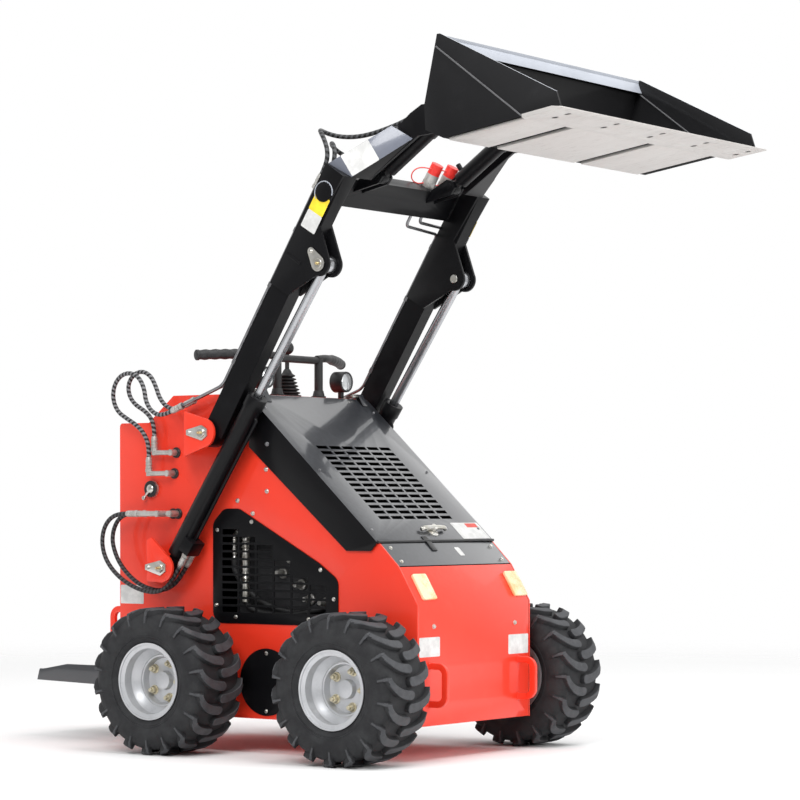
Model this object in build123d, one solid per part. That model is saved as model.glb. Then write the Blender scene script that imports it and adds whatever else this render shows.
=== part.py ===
from build123d import *
import math
import os

# A stand-on skid steer loader with its arms raised and a bucket on.
# Sizes are in millimetres. X points forward, Y left, Z up. Every x below is measured from the
# point midway between the two axles; origin_shift() then moves the whole machine so that its
# origin is on the ground, in the middle of its overall length. Pairs are (x, z) points.

# ---- wheels
wheelbase = 710
tyre_diameter = 457
tyre_width = 216
tyre_outer_y = 582            # outer sidewall, from the middle plane
lug_height = 15
lug_count = 16                # on each half of the tread
lug_thickness = 27
lug_sweep = 34                # how far a lug's inner end lies ahead of the middle of its flat
bead_radius = 107
flange_radius = 119.6
rim_width = 192
rim_sheet = 5
disc_inset = 92               # wheel disc, inwards from the rim's outer flange
hub_radius = 62
axle_radius = 22
motor_radius = 52
motor_flange = 18             # its flange on the side plate, beyond the housing
motor_reach = 64              # from the wheel disc to the housing's outer end

# ---- body
body_half_width = 305
side_sheet = 6
panel_sheet = 5
rear_x = -702
front_x = 479
bottom_z = 108
front_top_z = 473
slope_1_top = (410, 587)
slope_2_top = (339, 657)
console_z = 1121
hood_top = (-168, console_z)
console_rear_x = -475
deck_drop = 84                # from the console down to the rear deck
deck_front = (-578, console_z - deck_drop)
console_sheet = 4
hood_sheet = 3
hood_gap = 5                  # between hood and body, all round
panel_gap = 0.3               # between a panel's edge and the side plate

# ---- boom
boom_pivot = (-275, 998)
arm_gap = 27                  # from the side plate to the arm
arm_width = 50
arm_y = body_half_width + arm_gap + arm_width / 2
arm_depth = 77
arm_angle = 58.3
arm_root = (-159, 1143)       # a point on the arm's centre line
elbow_rear_reach = 750        # from arm_root to the elbow, along the arm's rear and front faces
elbow_front_reach = 747
pin_radius = 15
ear_sheet = 10
part_gap = 5                  # least gap between parts that move past each other
nose_y = 256                  # middle of the nose's inner plate
nose_sheet = 12
nose_boss_radius = 36
nose_boss_half = 24           # half the length of the boss at the bucket pivot
nose_reach = 60               # further than the nose reaches past its own corners
nose_rear_end = (374, 1911)
nose_front_end = (431, 1870)
cross_centre = (146, 1743)
cross_height = 92
cross_depth = 60

# ---- lift cylinders
lift_base = (-445, 575)
lift_pin = (175, 1501)
lift_barrel_radius = 30
lift_rod_radius = 15
lift_barrel_length = 640
lift_rod_tail = 580           # from the base pin to the rod's inner end
lift_neck = 52                # from the base pin to the barrel's end
lift_eye_radius = 27
lift_eye_width = 40
gland_length = 40             # the thicker end of a barrel, round the rod

# ---- tilt cylinders
tilt_y = 192
tilt_base = (262, 1776)
tilt_pin = (640, 2035)
tilt_barrel_radius = 26
tilt_rod_radius = 12
tilt_barrel_length = 255
tilt_rod_tail = 179
tilt_neck = 36
tilt_eye_radius = 22
tilt_eye_width = 30
tilt_pin_radius = 12
stub_length = 4               # how far a pin shows inside an ear at an open pivot

# ---- bucket
bucket_pivot = (620, 1930)
bucket_half_width = 555
bucket_side_sheet = 8
bucket_shell_sheet = 6
bucket_rear_top = (724, 2114)
bucket_rear_bend = (680, 1916)
bucket_rear_low = (684, 1844)
bucket_heel = (748, 1816)
bucket_front_low = (1141, 1874)
bucket_front_high = (1127, 1916)
edge_half_width = 582
edge_sheet = 12
lip = (1165, 1864)

# ---- operator platform
platform_hinge = (-735, 205)
platform_rear_x = -1115
platform_half_width = 250
platform_sheet = 6
deck_sheet = 5
deck_rise = 24                # top of the platform's deck above its hinge

# ---- controls and lamps
bar_x = -210
bar_rise = 124                # handlebar above the console
post_y = 108
post_radius = 15
cross_bar_radius = 13
grip_start_radius = 14
grip_radius = 17
grip_bend = (-240, 212)       # x and y where a grip turns back
grip_end = (-320, 375)
stick_x = -255
boot_foot_radius = 46
boot_top_radius = 26
boot_height = 70
lever_radius = 8
lever_height = 150
knob_radius = 22
lamp_y = 206
lamp_rise = 54
lamp_radius = 34
lamp_rear_x, lamp_front_x = -215, -172
lamp_foot_width = 16
lamp_foot_length = 12

# ---- hydraulic lines
hose_radius = 7
pipe_radius = 5
crimp_radius = 9

running_gap = 0.05            # radial gap of a pin in its hole


def origin_shift():
    return -(lip[0] + platform_rear_x) / 2


def plate(outline, y_low, y_high):
    """A prism along Y with the given (x, z) corners."""
    wire = Polyline(*[(x, y_low, z) for x, z in outline], close=True)
    return extrude(make_face(wire), amount=y_high - y_low, dir=(0, 1, 0))


def bar(outline, x_low, x_high):
    """A prism along X with the given (y, z) corners."""
    wire = Polyline(*[(x_low, y, z) for y, z in outline], close=True)
    return extrude(make_face(wire), amount=x_high - x_low, dir=(1, 0, 0))


def slab(outline, z_low, z_high):
    """A prism along Z with the given (x, y) corners."""
    wire = Polyline(*[(x, y, z_low) for x, y in outline], close=True)
    return extrude(make_face(wire), amount=z_high - z_low, dir=(0, 0, 1))


def block(x_low, x_high, y_low, y_high, z_low, z_high):
    middle = ((x_low + x_high) / 2, (y_low + y_high) / 2, (z_low + z_high) / 2)
    return Pos(*middle) * Box(x_high - x_low, y_high - y_low, z_high - z_low)


def rod_between(start, end, radius):
    start, end = Vector(*start), Vector(*end)
    place = Plane(origin=start, z_dir=end - start)
    return place * Cylinder(radius, (end - start).length, align=(Align.CENTER, Align.CENTER, Align.MIN))


def rod_y(centre, radius, y_low, y_high):
    """A round bar along Y through an (x, z) centre."""
    return rod_between((centre[0], y_low, centre[1]), (centre[0], y_high, centre[1]), radius)


def rod_in_plane(start, end, y, radius):
    """A round bar between two (x, z) points at one y."""
    return rod_between((start[0], y, start[1]), (end[0], y, end[1]), radius)


def mirrored(shape):
    return mirror(shape, about=Plane.XZ)


def both_sides(shape):
    return [shape, mirrored(shape)]


def along(point, angle, distance, offset=0):
    """The point at a distance along a line at angle degrees, then offset to its left."""
    a = math.radians(angle)
    return (point[0] + distance * math.cos(a) - offset * math.sin(a),
            point[1] + distance * math.sin(a) + offset * math.cos(a))


def angle_of(start, end):
    return math.degrees(math.atan2(end[1] - start[1], end[0] - start[0]))


def distance_of(start, end):
    return math.hypot(end[0] - start[0], end[1] - start[1])


def offset_line(line, distance):
    """The (x, z) line moved to its left by a distance, with its corners mitred."""
    moved = []
    for i, point in enumerate(line):
        angles = []
        if i > 0:
            angles.append(angle_of(line[i - 1], point))
        if i < len(line) - 1:
            angles.append(angle_of(point, line[i + 1]))
        half_turn = math.radians(abs(angles[-1] - angles[0]) / 2)
        moved.append(along(point, sum(angles) / len(angles), 0, distance / math.cos(half_turn)))
    return moved


def bent_sheet(line, thickness, y_half):
    """A folded sheet along (x, z) points; a positive thickness lies to the line's right."""
    return plate(line + offset_line(line, -thickness)[::-1], -y_half, y_half)


def meet(point_a, angle_a, point_b, angle_b):
    """Where a line through one point crosses a line through another."""
    a, b = math.radians(angle_a), math.radians(angle_b)
    dx, dz = point_b[0] - point_a[0], point_b[1] - point_a[1]
    reach = (dx * math.sin(b) - dz * math.cos(b)) / math.sin(b - a)
    return along(point_a, angle_a, reach)


parts = {}


# ---- wheels -------------------------------------------------------------------------------

tyre_radius = tyre_diameter / 2
axle_z = tyre_radius
wheel_y = tyre_outer_y - tyre_width / 2
rim_outer_y = wheel_y + rim_width / 2
disc_y = rim_outer_y - disc_inset
motor_end_y = disc_y - motor_reach

# columns: name, x of the axle, side (+1 left, -1 right)
wheel_places = [("front_right", wheelbase / 2, -1), ("front_left", wheelbase / 2, 1),
                ("rear_right", -wheelbase / 2, -1), ("rear_left", -wheelbase / 2, 1)]


def turned_section(outline):
    """Turn (y, r) corners about the Y axis; y is measured outwards from the wheel's middle."""
    wire = Polyline(*[(0, y, r) for y, r in outline], close=True)
    return revolve(make_face(wire), axis=Axis.Y)


def tyre():
    """A carcass of flats with curved lugs fused on, one to each flat, the two halves staggered."""
    half = tyre_width / 2
    tread = tyre_radius - lug_height
    wall_low = bead_radius + 58
    shoulder = [(half - 34, bead_radius), (half, wall_low), (half - 26, tread)]
    section = shoulder + [(-y, r) for y, r in reversed(shoulder)]
    flats = 2 * lug_count
    step = 360 / flats
    reach = tyre_radius * math.tan(math.radians(step / 2))
    wedge = plate([(0, 0), (-reach, tyre_radius), (reach, tyre_radius)], -half, half)
    flat = bar(section, -reach, reach) & wedge
    carcass = flat
    for i in range(1, flats):
        carcass += Rot(0, step * i, 0) * flat
    # the lug's plan: a thumb at the middle that sweeps round to a broad end at the shoulder
    front, back = lug_sweep, -lug_thickness - 4
    plan = [(front, 6), (front - 20, -10), (back + 18, 50), (back, half), (back + lug_thickness + 6, half),
            (front - 6, 54)]
    # its section across the tread: flat, with its corners on the tyre's radius, then over the shoulder
    top = math.sqrt(tyre_radius ** 2 - max(front, -back) ** 2)
    profile = [(-12, tread - 20), (-12, top), (half - 18, top), (half - 1, tread - 24),
               (half - 20, tread - 44)]
    lug = slab(plan, tread - 44, tyre_radius + 5) & bar(profile, back - 1, front + 1)
    lugs = []
    for i in range(lug_count):
        lugs.append(Rot(0, step * (2 * i + 0.5), 0) * lug)
        lugs.append(Rot(0, step * (2 * i + 1.5), 0) * mirrored(lug))
    return carcass + lugs


def rim():
    half = rim_width / 2
    well = bead_radius - 22
    barrel = [(half, flange_radius), (half - 4, flange_radius), (half - 8, bead_radius),
              (half - 40, bead_radius), (half - 62, well), (44 - half, well), (34 - half, bead_radius),
              (8 - half, bead_radius), (4 - half, flange_radius), (-half, flange_radius)]
    inside = [(y * 0.985, r - rim_sheet) for y, r in reversed(barrel)]
    ring = turned_section(barrel + inside)
    face = half - disc_inset
    disc = turned_section([
        (face + 26, well - 2), (face + 26, well - 10), (face + 4, 70), (face + 4, axle_radius),
        (face - 3, axle_radius), (face - 3, 74), (face + 18, well - 2)])
    hub = turned_section([
        (face - 3, hub_radius), (face - 20, hub_radius), (face - 24, 44), (face - 60, 40),
        (face - 60, axle_radius + running_gap), (face - 3, axle_radius + running_gap)])
    cap = turned_section([(face + 4, 30), (face + 22, 27), (face + 22, 0), (face - 3, 0), (face - 3, 30)])
    return ring + disc + hub + cap


tyre_shape = tyre()
rim_shape = rim()
motors = []
for name, x, side in wheel_places:
    place = Pos(x, side * wheel_y, axle_z)
    parts["tyre_" + name] = place * (tyre_shape if side > 0 else mirrored(tyre_shape))
    parts["rim_" + name] = place * (rim_shape if side > 0 else mirrored(rim_shape))
    housing = rod_between((x, side * (body_half_width - 30), axle_z), (x, side * motor_end_y, axle_z),
                          motor_radius)
    flange = rod_between((x, side * body_half_width, axle_z), (x, side * (body_half_width + 14), axle_z),
                         motor_radius + motor_flange)
    shaft = rod_between((x, side * motor_end_y, axle_z), (x, side * (disc_y - 5), axle_z), axle_radius)
    motors.append(housing + flange + shaft)
parts["wheel_motors"] = motors


# ---- body ---------------------------------------------------------------------------------

inner_y = body_half_width - side_sheet
panel_half = inner_y - panel_gap
slope_2_angle = angle_of(slope_1_top, slope_2_top)
hood_angle = angle_of(slope_2_top, hood_top)
hood_length = distance_of(slope_2_top, hood_top)

# under the hood the side plates step in by the hood's sheet and its gap
ledge_low = along(slope_2_top, hood_angle, hood_gap, hood_sheet + hood_gap)
ledge_rise = (console_z - ledge_low[1]) / math.sin(math.radians(hood_angle))
ledge_high = along(ledge_low, hood_angle, ledge_rise)
side_outline = [(rear_x, bottom_z), (front_x, bottom_z), (front_x, front_top_z), slope_1_top, slope_2_top,
                ledge_low, ledge_high, (console_rear_x, console_z), deck_front, (rear_x, deck_front[1])]

vent_outline = [(-310, 403), (184, 403), (184, 545), (110, 596), (-204, 762), (-266, 762), (-310, 718)]
vent_corner = 38
vent_flange = 18
vent_sheet = 3
cover_centre = (-96, 223)
cover_radius = 104.5
cover_flange = 12


def rounded_prism(outline, radius, y_low, y_high):
    solid = plate(outline, y_low, y_high)
    return fillet(solid.edges().filter_by(Axis.Y), radius)


def side_plate():
    sheet = plate(side_outline, inner_y, body_half_width)
    rear_corners = sheet.edges().filter_by(Axis.Y).sort_by(Axis.X)[:2]
    sheet = fillet(rear_corners, 12)
    opening = rounded_prism(vent_outline, vent_corner, 0, 1).faces().sort_by(Axis.Y)[0]
    opening = offset(opening, amount=-vent_flange)
    sheet -= Pos(0, inner_y - 1, 0) * extrude(opening, amount=side_sheet + 2, dir=(0, 1, 0))
    sheet -= rod_y(cover_centre, cover_radius - cover_flange, inner_y - 1, body_half_width + 1)
    for x in (-wheelbase / 2, wheelbase / 2):
        sheet -= rod_y((x, axle_z), motor_radius + panel_gap, inner_y - 1, body_half_width + 1)
    return sheet


left_side = side_plate()
parts["side_plate_left"] = left_side
parts["side_plate_right"] = mirrored(left_side)

slot_columns, slot_rows = 6, 11
slot_pitch_x, slot_pitch_z = 69.5, 24.3
slot_wide, slot_high = 62, 17
slots_start = (-272, 438)
slot_margin = 42              # solid band under the grille's sloping edge


def vent_grille():
    panel = rounded_prism(vent_outline, vent_corner, body_half_width, body_half_width + vent_sheet)
    slope_low, slope_high = vent_outline[3], vent_outline[4]
    fall = (slope_high[1] - slope_low[1]) / (slope_high[0] - slope_low[0])
    slots = []
    for column in range(slot_columns):
        for row in range(slot_rows):
            x = slots_start[0] + column * slot_pitch_x
            z = slots_start[1] + row * slot_pitch_z
            roof = slope_high[1] + (x + slot_wide - slope_high[0]) * fall
            if z + slot_high < roof - slot_margin:
                slots.append(block(x, x + slot_wide, body_half_width - 1, body_half_width + vent_sheet + 1,
                                   z, z + slot_high))
    return panel - slots


parts["vent_grilles"] = both_sides(vent_grille())
parts["round_covers"] = both_sides(rod_y(cover_centre, cover_radius, body_half_width,
                                         body_half_width + vent_sheet))

# tie-down loops: standing plates with a D-shaped eye
loop_sheet = 14
loop_height = 135
loop_reach = 68
loop_bar = 20
loop_corner = 36              # outer radius of a loop's corners
front_loop_y, front_loop_z = 240, 165
rear_loop_y, rear_loop_z = 272, 311


def tie_down_loop(x, y, z_low, direction):
    """A D-shaped bar on a wall at x, standing out in direction +1 or -1."""
    z_mid = z_low + loop_height / 2

    def rounded(inset, y_half):
        half, reach = loop_height / 2 - inset, loop_reach - inset
        x_low, x_high = sorted((x, x + direction * reach))
        shape = block(x_low, x_high, y - y_half, y + y_half, z_mid - half, z_mid + half)
        outer_edges = shape.edges().filter_by(Axis.Y).group_by(Axis.X)[-1 if direction > 0 else 0]
        return fillet(outer_edges, loop_corner - inset)

    return rounded(0, loop_sheet / 2) - rounded(loop_bar, loop_sheet / 2 + 1)


front_wall = bent_sheet([slope_1_top, (front_x, front_top_z), (front_x, bottom_z + 1)], panel_sheet,
                        panel_half)
parts["front_panel"] = front_wall + both_sides(tie_down_loop(front_x - 1, front_loop_y, front_loop_z, 1))

cover_sheet = 4
cover_low = along(slope_1_top, slope_2_angle, 4)
cover_high = along(slope_2_top, slope_2_angle, -1)
parts["front_cover"] = bent_sheet([cover_high, cover_low], cover_sheet, panel_half)

hinge_x, hinge_z = platform_hinge
hinge_radius = 8
hinge_lug_y = 150
hinge_lug_width = 12
rear_wall = bent_sheet([(rear_x, bottom_z + 1), (rear_x, deck_front[1] - console_sheet)], panel_sheet,
                       panel_half)
hinge_lug = plate([(rear_x + 1, hinge_z - 30), (hinge_x, hinge_z - 16), (hinge_x - 16, hinge_z),
                   (hinge_x, hinge_z + 16), (rear_x + 1,
                                             hinge_z + 30)], hinge_lug_y, hinge_lug_y + hinge_lug_width)
hinge_lug -= rod_y(platform_hinge, hinge_radius + running_gap, hinge_lug_y - 1,
                   hinge_lug_y + hinge_lug_width + 1)
rear_loop = tie_down_loop(rear_x + 1, rear_loop_y, rear_loop_z, -1)
parts["rear_panel"] = rear_wall + both_sides(rear_loop) + both_sides(hinge_lug)

pan_top = bottom_z + 1 + panel_sheet
parts["belly_pan"] = block(rear_x + panel_sheet, front_x - panel_sheet, -panel_half, panel_half,
                           bottom_z + 1, pan_top)

console_line = [(rear_x, deck_front[1]), deck_front, (console_rear_x, console_z),
                (ledge_high[0], console_z)]
parts["console"] = bent_sheet(console_line, console_sheet, panel_half)

engine_rear_x, engine_front_x = -300, 150
engine_half_width = 200
engine_low, engine_high = 250, 700
foot_size, foot_inset = 40, 10
engine_box = block(engine_rear_x, engine_front_x, -engine_half_width, engine_half_width, engine_low,
                   engine_high)
engine_feet = []
for foot_x in (engine_rear_x + foot_inset, engine_front_x - foot_inset - foot_size):
    for foot_y in (foot_inset - engine_half_width, engine_half_width - foot_inset - foot_size):
        engine_feet.append(block(foot_x, foot_x + foot_size, foot_y, foot_y + foot_size, pan_top,
                                 engine_low + 1))
parts["engine"] = engine_box + engine_feet

reflector_up = 60             # from the fold of the front panel
reflector_half_height, reflector_half_width = 34, 52
reflector_thickness = 10
reflector_y = 226
reflector_angle = angle_of((front_x, front_top_z), slope_1_top)
reflector_ends = [along((front_x, front_top_z), reflector_angle, reflector_up + shift)
                  for shift in (-reflector_half_height, reflector_half_height)]
reflector = bent_sheet(reflector_ends, reflector_thickness, reflector_half_width)
parts["reflectors"] = both_sides(Pos(0, reflector_y, 0) * reflector)


# ---- hood ---------------------------------------------------------------------------------

hood_half = body_half_width + part_gap + hood_sheet
louvre_rows, louvre_columns = 14, 6
louvre_start, louvre_end = 103, 452
louvre_half = 198
louvre_bar = 10
louvre_share = 0.58           # open share of a row's pitch
flap_low_z = 634
flap_front_x, flap_fold_x = 311, 219
flap_rear = (-160, 954)
flap_outline = [along(slope_2_top, hood_angle, hood_gap), (flap_front_x, flap_low_z),
                (flap_fold_x, flap_low_z),
                flap_rear, along(hood_top, hood_angle, -2)]

hood_hinge = along(hood_top, hood_angle, 2, -9)
hinge_pin_radius = 4
knuckle_radius = 7
knuckle_length = 28
hood_hinge_y = 252


def hood():
    low = along(slope_2_top, hood_angle, hood_gap)
    high = along(hood_top, hood_angle, -2)
    sheet = bent_sheet([high, low], hood_sheet, hood_half)
    row_pitch = (louvre_end - louvre_start) / louvre_rows
    column_pitch = 2 * louvre_half / louvre_columns
    slots = []
    for row in range(louvre_rows):
        start = louvre_start + row * row_pitch
        end = start + louvre_share * row_pitch
        corners = [along(low, hood_angle, distance, depth) for distance, depth in
                   ((start, -10), (end, -10), (end, 10), (start, 10))]
        for column in range(louvre_columns):
            y = -louvre_half + column * column_pitch + louvre_bar / 2
            slots.append(plate(corners, y, y + column_pitch - louvre_bar))
    flap = plate(flap_outline, hood_half - hood_sheet, hood_half)
    strap_corners = [along(hood_hinge, hood_angle, 0, -knuckle_radius),
                     along(hood_hinge, hood_angle, -40, 6.5),
                     along(hood_hinge, hood_angle, -40, 9.5), along(hood_hinge, hood_angle, -8, 9.5),
                     along(hood_hinge, hood_angle, 0, 5)]
    leaves = []
    for y in (-hood_hinge_y, hood_hinge_y):
        knuckle = rod_y(hood_hinge, knuckle_radius, y + 1, y + knuckle_length)
        strap = plate(strap_corners, y + 1, y + knuckle_length)
        bore = rod_y(hood_hinge, hinge_pin_radius + running_gap, y, y + knuckle_length + 1)
        leaves.append(knuckle + strap - bore)
    return (sheet - slots) + both_sides(flap) + leaves


parts["hood"] = hood()
hinge_pieces = []
for y in (-hood_hinge_y, hood_hinge_y):
    knuckle = rod_y(hood_hinge, knuckle_radius, y - knuckle_length, y - 0.5)
    foot = plate([(hood_hinge[0] - 2, hood_hinge[1] - knuckle_radius + 1), (ledge_high[0] - 30, console_z),
                  (ledge_high[0] - 30, console_z + 3), (hood_hinge[0] - 5, hood_hinge[1] + 3)],
                 y - knuckle_length, y - 0.5)
    pin = rod_y(hood_hinge, hinge_pin_radius, y - knuckle_length - 2, y + knuckle_length + 2)
    hinge_pieces.append(knuckle + foot + pin)
parts["hood_hinges"] = hinge_pieces

latch_up, latch_y = 52, 18
latch_half_width, latch_half_height, latch_sheet = 60, 16, 12
latch_line = [along(slope_2_top, hood_angle, latch_up + shift) for shift in (latch_half_height,
                                                                             -latch_half_height)]
parts["hood_latch"] = Pos(0, latch_y, 0) * bent_sheet(latch_line, -latch_sheet, latch_half_width)


# ---- brackets that carry the boom and its cylinders -----------------------------------------

ear_inner = arm_y + lift_barrel_radius + part_gap
ear_outer = ear_inner + ear_sheet
ear_radius = 46
bracket_reach = 200           # more than any bracket's height, above and below its pin


def side_bracket(pin, corners, foot_reach, bend_reach):
    """A folded plate, welded to the side foot_reach behind the pin and bent into an ear at bend_reach."""
    wall = body_half_width
    foot_x, bend_x, front = pin[0] - foot_reach, pin[0] - bend_reach, pin[0] + 2 * ear_radius
    fold = [(foot_x, wall), (bend_x, ear_inner), (front, ear_inner), (front, ear_outer),
            (bend_x - 4, ear_outer), (foot_x - 12, wall + 2), (foot_x - 12, wall)]
    outline = [(pin[0] + x, pin[1] + z) for x, z in corners]
    shape = slab(fold, pin[1] - bracket_reach, pin[1] + bracket_reach) & plate(outline, wall, ear_outer)
    nose = rod_y(pin, ear_radius, ear_inner, ear_outer)
    hole = rod_y(pin, pin_radius + running_gap, ear_inner - 1, ear_outer + 1)
    return shape + nose - hole


# columns: corners of the ear, from the pin
pivot_corners = [(-165, -58), (-75, -73), (8, -45), (8, 45), (-75, 68), (-165, 48)]
lift_corners = [(-150, -40), (6, -45), (20, 42), (-40, 96), (-150, 50)]
pivot_ear = side_bracket(boom_pivot, pivot_corners, 140, 70)
lift_ear = side_bracket(lift_base, lift_corners, 130, 55)
parts["arm_brackets"] = both_sides(pivot_ear) + both_sides(lift_ear)

collar_radius = 24
collar_gap = 0.5


def ear_pin(centre, held_low, held_high):
    """A pin from the side plate through an ear, with a collar on each side of what it carries."""
    shaft = rod_y(centre, pin_radius, body_half_width, ear_outer + 8)
    collars = [rod_y(centre, collar_radius, body_half_width, held_low - collar_gap),
               rod_y(centre, collar_radius, held_high + collar_gap, ear_inner)]
    x, z = centre
    keeper = plate([(x - 62, z + 10), (x - 62, z - 6), (x, z - collar_radius), (x + 22, z - 10),
                    (x + 22, z + 12),
                    (x, z + collar_radius)], ear_outer, ear_outer + 5)
    return shaft + collars + keeper


arm_low, arm_high = arm_y - arm_width / 2, arm_y + arm_width / 2
parts["pivot_pins"] = (both_sides(ear_pin(boom_pivot, arm_low, arm_high))
                       + both_sides(ear_pin(lift_base, arm_y - lift_eye_width / 2,
                                            arm_y + lift_eye_width / 2)))


# ---- boom ---------------------------------------------------------------------------------

arm_half_depth = arm_depth / 2
arm_foot_reach = 170          # from arm_root down to the arm's foot
weld_disc_distance = 672      # from arm_root up to the round plug weld
weld_disc_radius = 30
arm_foot = along(arm_root, arm_angle, -arm_foot_reach)
arm_boss_radius = 44
ear_start_distance = 340      # from arm_root, where the ear plates begin
ear_nose_radius = 38


elbow_rear = along(arm_root, arm_angle, elbow_rear_reach, arm_half_depth)
elbow_front = along(arm_root, arm_angle, elbow_front_reach, -arm_half_depth)


def boom_arm():
    rear_low = along(arm_foot, arm_angle, 0, arm_half_depth)
    front_low = along(arm_foot, arm_angle, 0, -arm_half_depth)
    tube = plate([rear_low, front_low, elbow_front, elbow_rear], arm_low, arm_high)
    boss = rod_y(boom_pivot, arm_boss_radius, arm_low, arm_high)
    ear_front = along(arm_root, arm_angle, ear_start_distance, -arm_half_depth)
    ear_rear = along(arm_root, arm_angle, ear_start_distance, arm_half_depth)
    x, z = lift_pin
    ear_outline = [ear_rear, ear_front, (x - 14, z - 35), (x + 34, z + 17), (172, 1625), elbow_front,
                   elbow_rear]
    weld_centre = along(arm_root, arm_angle, weld_disc_distance)
    ears = []
    for low, high, stub_low, stub_high in ((arm_low - ear_sheet, arm_low, arm_low - ear_sheet,
                                            arm_low + stub_length),
                                           (arm_high, arm_high + ear_sheet, arm_high - stub_length,
                                            arm_high + ear_sheet + 6)):
        ears.append(plate(ear_outline, low, high) + rod_y(lift_pin, ear_nose_radius, low, high)
                    + rod_y(lift_pin, pin_radius, stub_low, stub_high))
    keeper = plate([(x - 8, z + 26), (x - 20, z + 8), (x - 6, z - 22), (x + 14, z - 18), (x + 22, z + 4),
                    (x - 16, z + 46), (x - 32, z + 44), (x - 34,
                                                         z + 34)], arm_high + ear_sheet, arm_high + ear_sheet + 4)
    weld_disc = rod_y(weld_centre, weld_disc_radius, arm_high + ear_sheet, arm_high + ear_sheet + 3)
    bore = rod_y(boom_pivot, pin_radius + running_gap, arm_low - 20, arm_high + 20)
    return tube + boss + ears + weld_disc - bore + keeper


left_arm = boom_arm()
parts["boom_arm_left"] = left_arm
parts["boom_arm_right"] = mirrored(left_arm)

cross_reach = arm_low - ear_sheet
cross_outline = [along(cross_centre, arm_angle, a * cross_height / 2, b * cross_depth / 2) for a, b in
                 ((-1, -1), (1, -1), (1, 1), (-1, 1))]
cross_tube = plate(cross_outline, -cross_reach, cross_reach)
lug_sheet = 10
lug_gap = 2                   # between a lug and the eye it holds
tilt_lug_outline = [along(cross_centre, arm_angle, 2, 4 - cross_depth / 2),
                    along(cross_centre, arm_angle, 44, 4 - cross_depth / 2),
                    (tilt_base[0] - 6, tilt_base[1] + 24), (tilt_base[0] + 18, tilt_base[1] + 16),
                    (tilt_base[0] + 24, tilt_base[1] - 4), (tilt_base[0] + 8, tilt_base[1] - 24)]
lug_inner = tilt_eye_width / 2 + lug_gap
tilt_mount = rod_y(tilt_base, tilt_pin_radius, tilt_y - lug_inner - lug_sheet - 4,
                   tilt_y + lug_inner + lug_sheet + 4)
for y in (tilt_y - lug_inner - lug_sheet, tilt_y + lug_inner):
    tilt_mount += plate(tilt_lug_outline, y, y + lug_sheet)

parts["cross_tube"] = cross_tube + both_sides(tilt_mount)

# quick couplers for an attachment's hoses, side by side on top of the cross tube
coupler_y = (190, 275)
coupler_radius = 21
coupler_length = 44
cap_radius = 20
cap_length = 34
hex_size, hex_length = 42, 20
coupler_offset = 8            # behind the tube's centre line


def coupler(y):
    """A hexagon foot, a round body and its dust cap, pointing the way the arm does."""
    foot = along(cross_centre, arm_angle, cross_height / 2, coupler_offset)
    body_end = along(foot, arm_angle, coupler_length)
    corners = [(hex_size / math.sqrt(3) * math.cos(math.radians(60 * i)),
                hex_size / math.sqrt(3) * math.sin(math.radians(60 * i))) for i in range(6)]
    place = Plane(origin=(foot[0], y, foot[1]), z_dir=(body_end[0] - foot[0], 0, body_end[1] - foot[1]))
    hexagon = place * slab(corners, 0, hex_length)
    body = rod_in_plane(foot, body_end, y, coupler_radius)
    cap = rod_in_plane(body_end, along(body_end, arm_angle, cap_length), y, cap_radius)
    return hexagon + body + cap


parts["couplers"] = [coupler(y) for y in coupler_y]


def boom_nose():
    """A tapered box: a straight inner plate and an outer skin that slants inwards."""
    inner_low, inner_high = nose_y - nose_sheet / 2, nose_y + nose_sheet / 2
    x, z = bucket_pivot
    inner_outline = [elbow_front, (448, 1877), (x - 30, z - 42), (x + 10, z - 44), (x + 42, z - 14),
                     (x + 42, z + 16),
                     (x + 16, z + 42), (x - 20, z + 44), (461, 1970), (419,
                                                                       1947), nose_rear_end, elbow_rear]
    inner_plate = plate(inner_outline, inner_low, inner_high)
    plan = [(elbow_rear[0] - nose_reach, arm_high), (elbow_rear[0], arm_high), (nose_front_end[0], inner_high + 1),
            (nose_front_end[0], inner_high - 1), (elbow_rear[0] - nose_reach, inner_high - 1)]
    box_outline = [elbow_front, nose_front_end, nose_rear_end, elbow_rear]
    box = slab(plan, elbow_front[1] - nose_reach, nose_rear_end[1] + nose_reach) & plate(box_outline, inner_high - 1,
                                                                         arm_high)
    boss = rod_y(bucket_pivot, nose_boss_radius, nose_y - nose_boss_half, nose_y + nose_boss_half)
    bore = rod_y(bucket_pivot, pin_radius + running_gap, nose_y - nose_reach, nose_y + nose_reach)
    return inner_plate + box + boss - bore


left_nose = boom_nose()
parts["boom_nose_left"] = left_nose
parts["boom_nose_right"] = mirrored(left_nose)


# ---- cylinders ----------------------------------------------------------------------------

def cylinder_pair(base, pin, y, barrel_radius, rod_radius, neck, length, tail, width, eye, pin_size):
    """A barrel with its eye and neck at base, and a rod whose eye is at pin."""
    turn = angle_of(base, pin)
    neck_end, barrel_end = along(base, turn, neck), along(base, turn, length)
    barrel = rod_in_plane(neck_end, barrel_end, y, barrel_radius)
    barrel += rod_in_plane(along(base, turn, length - gland_length), barrel_end, y, barrel_radius + 3)
    barrel += rod_in_plane(along(base, turn, eye * 0.7), along(base, turn, neck + 1), y, width / 2 - 1)
    barrel += rod_y(base, eye, y - width / 2, y + width / 2)
    barrel -= rod_y(base, pin_size + running_gap, y - width, y + width)
    barrel -= rod_in_plane(along(base, turn, neck + 4), along(base, turn, length + 10), y,
                           rod_radius + running_gap)
    rod = rod_in_plane(along(base, turn, tail), along(pin, turn, -eye * 0.7), y, rod_radius)
    rod += rod_y(pin, eye, y - width / 2, y + width / 2)
    rod -= rod_y(pin, pin_size + 1, y - width, y + width)
    return barrel, rod


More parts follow.
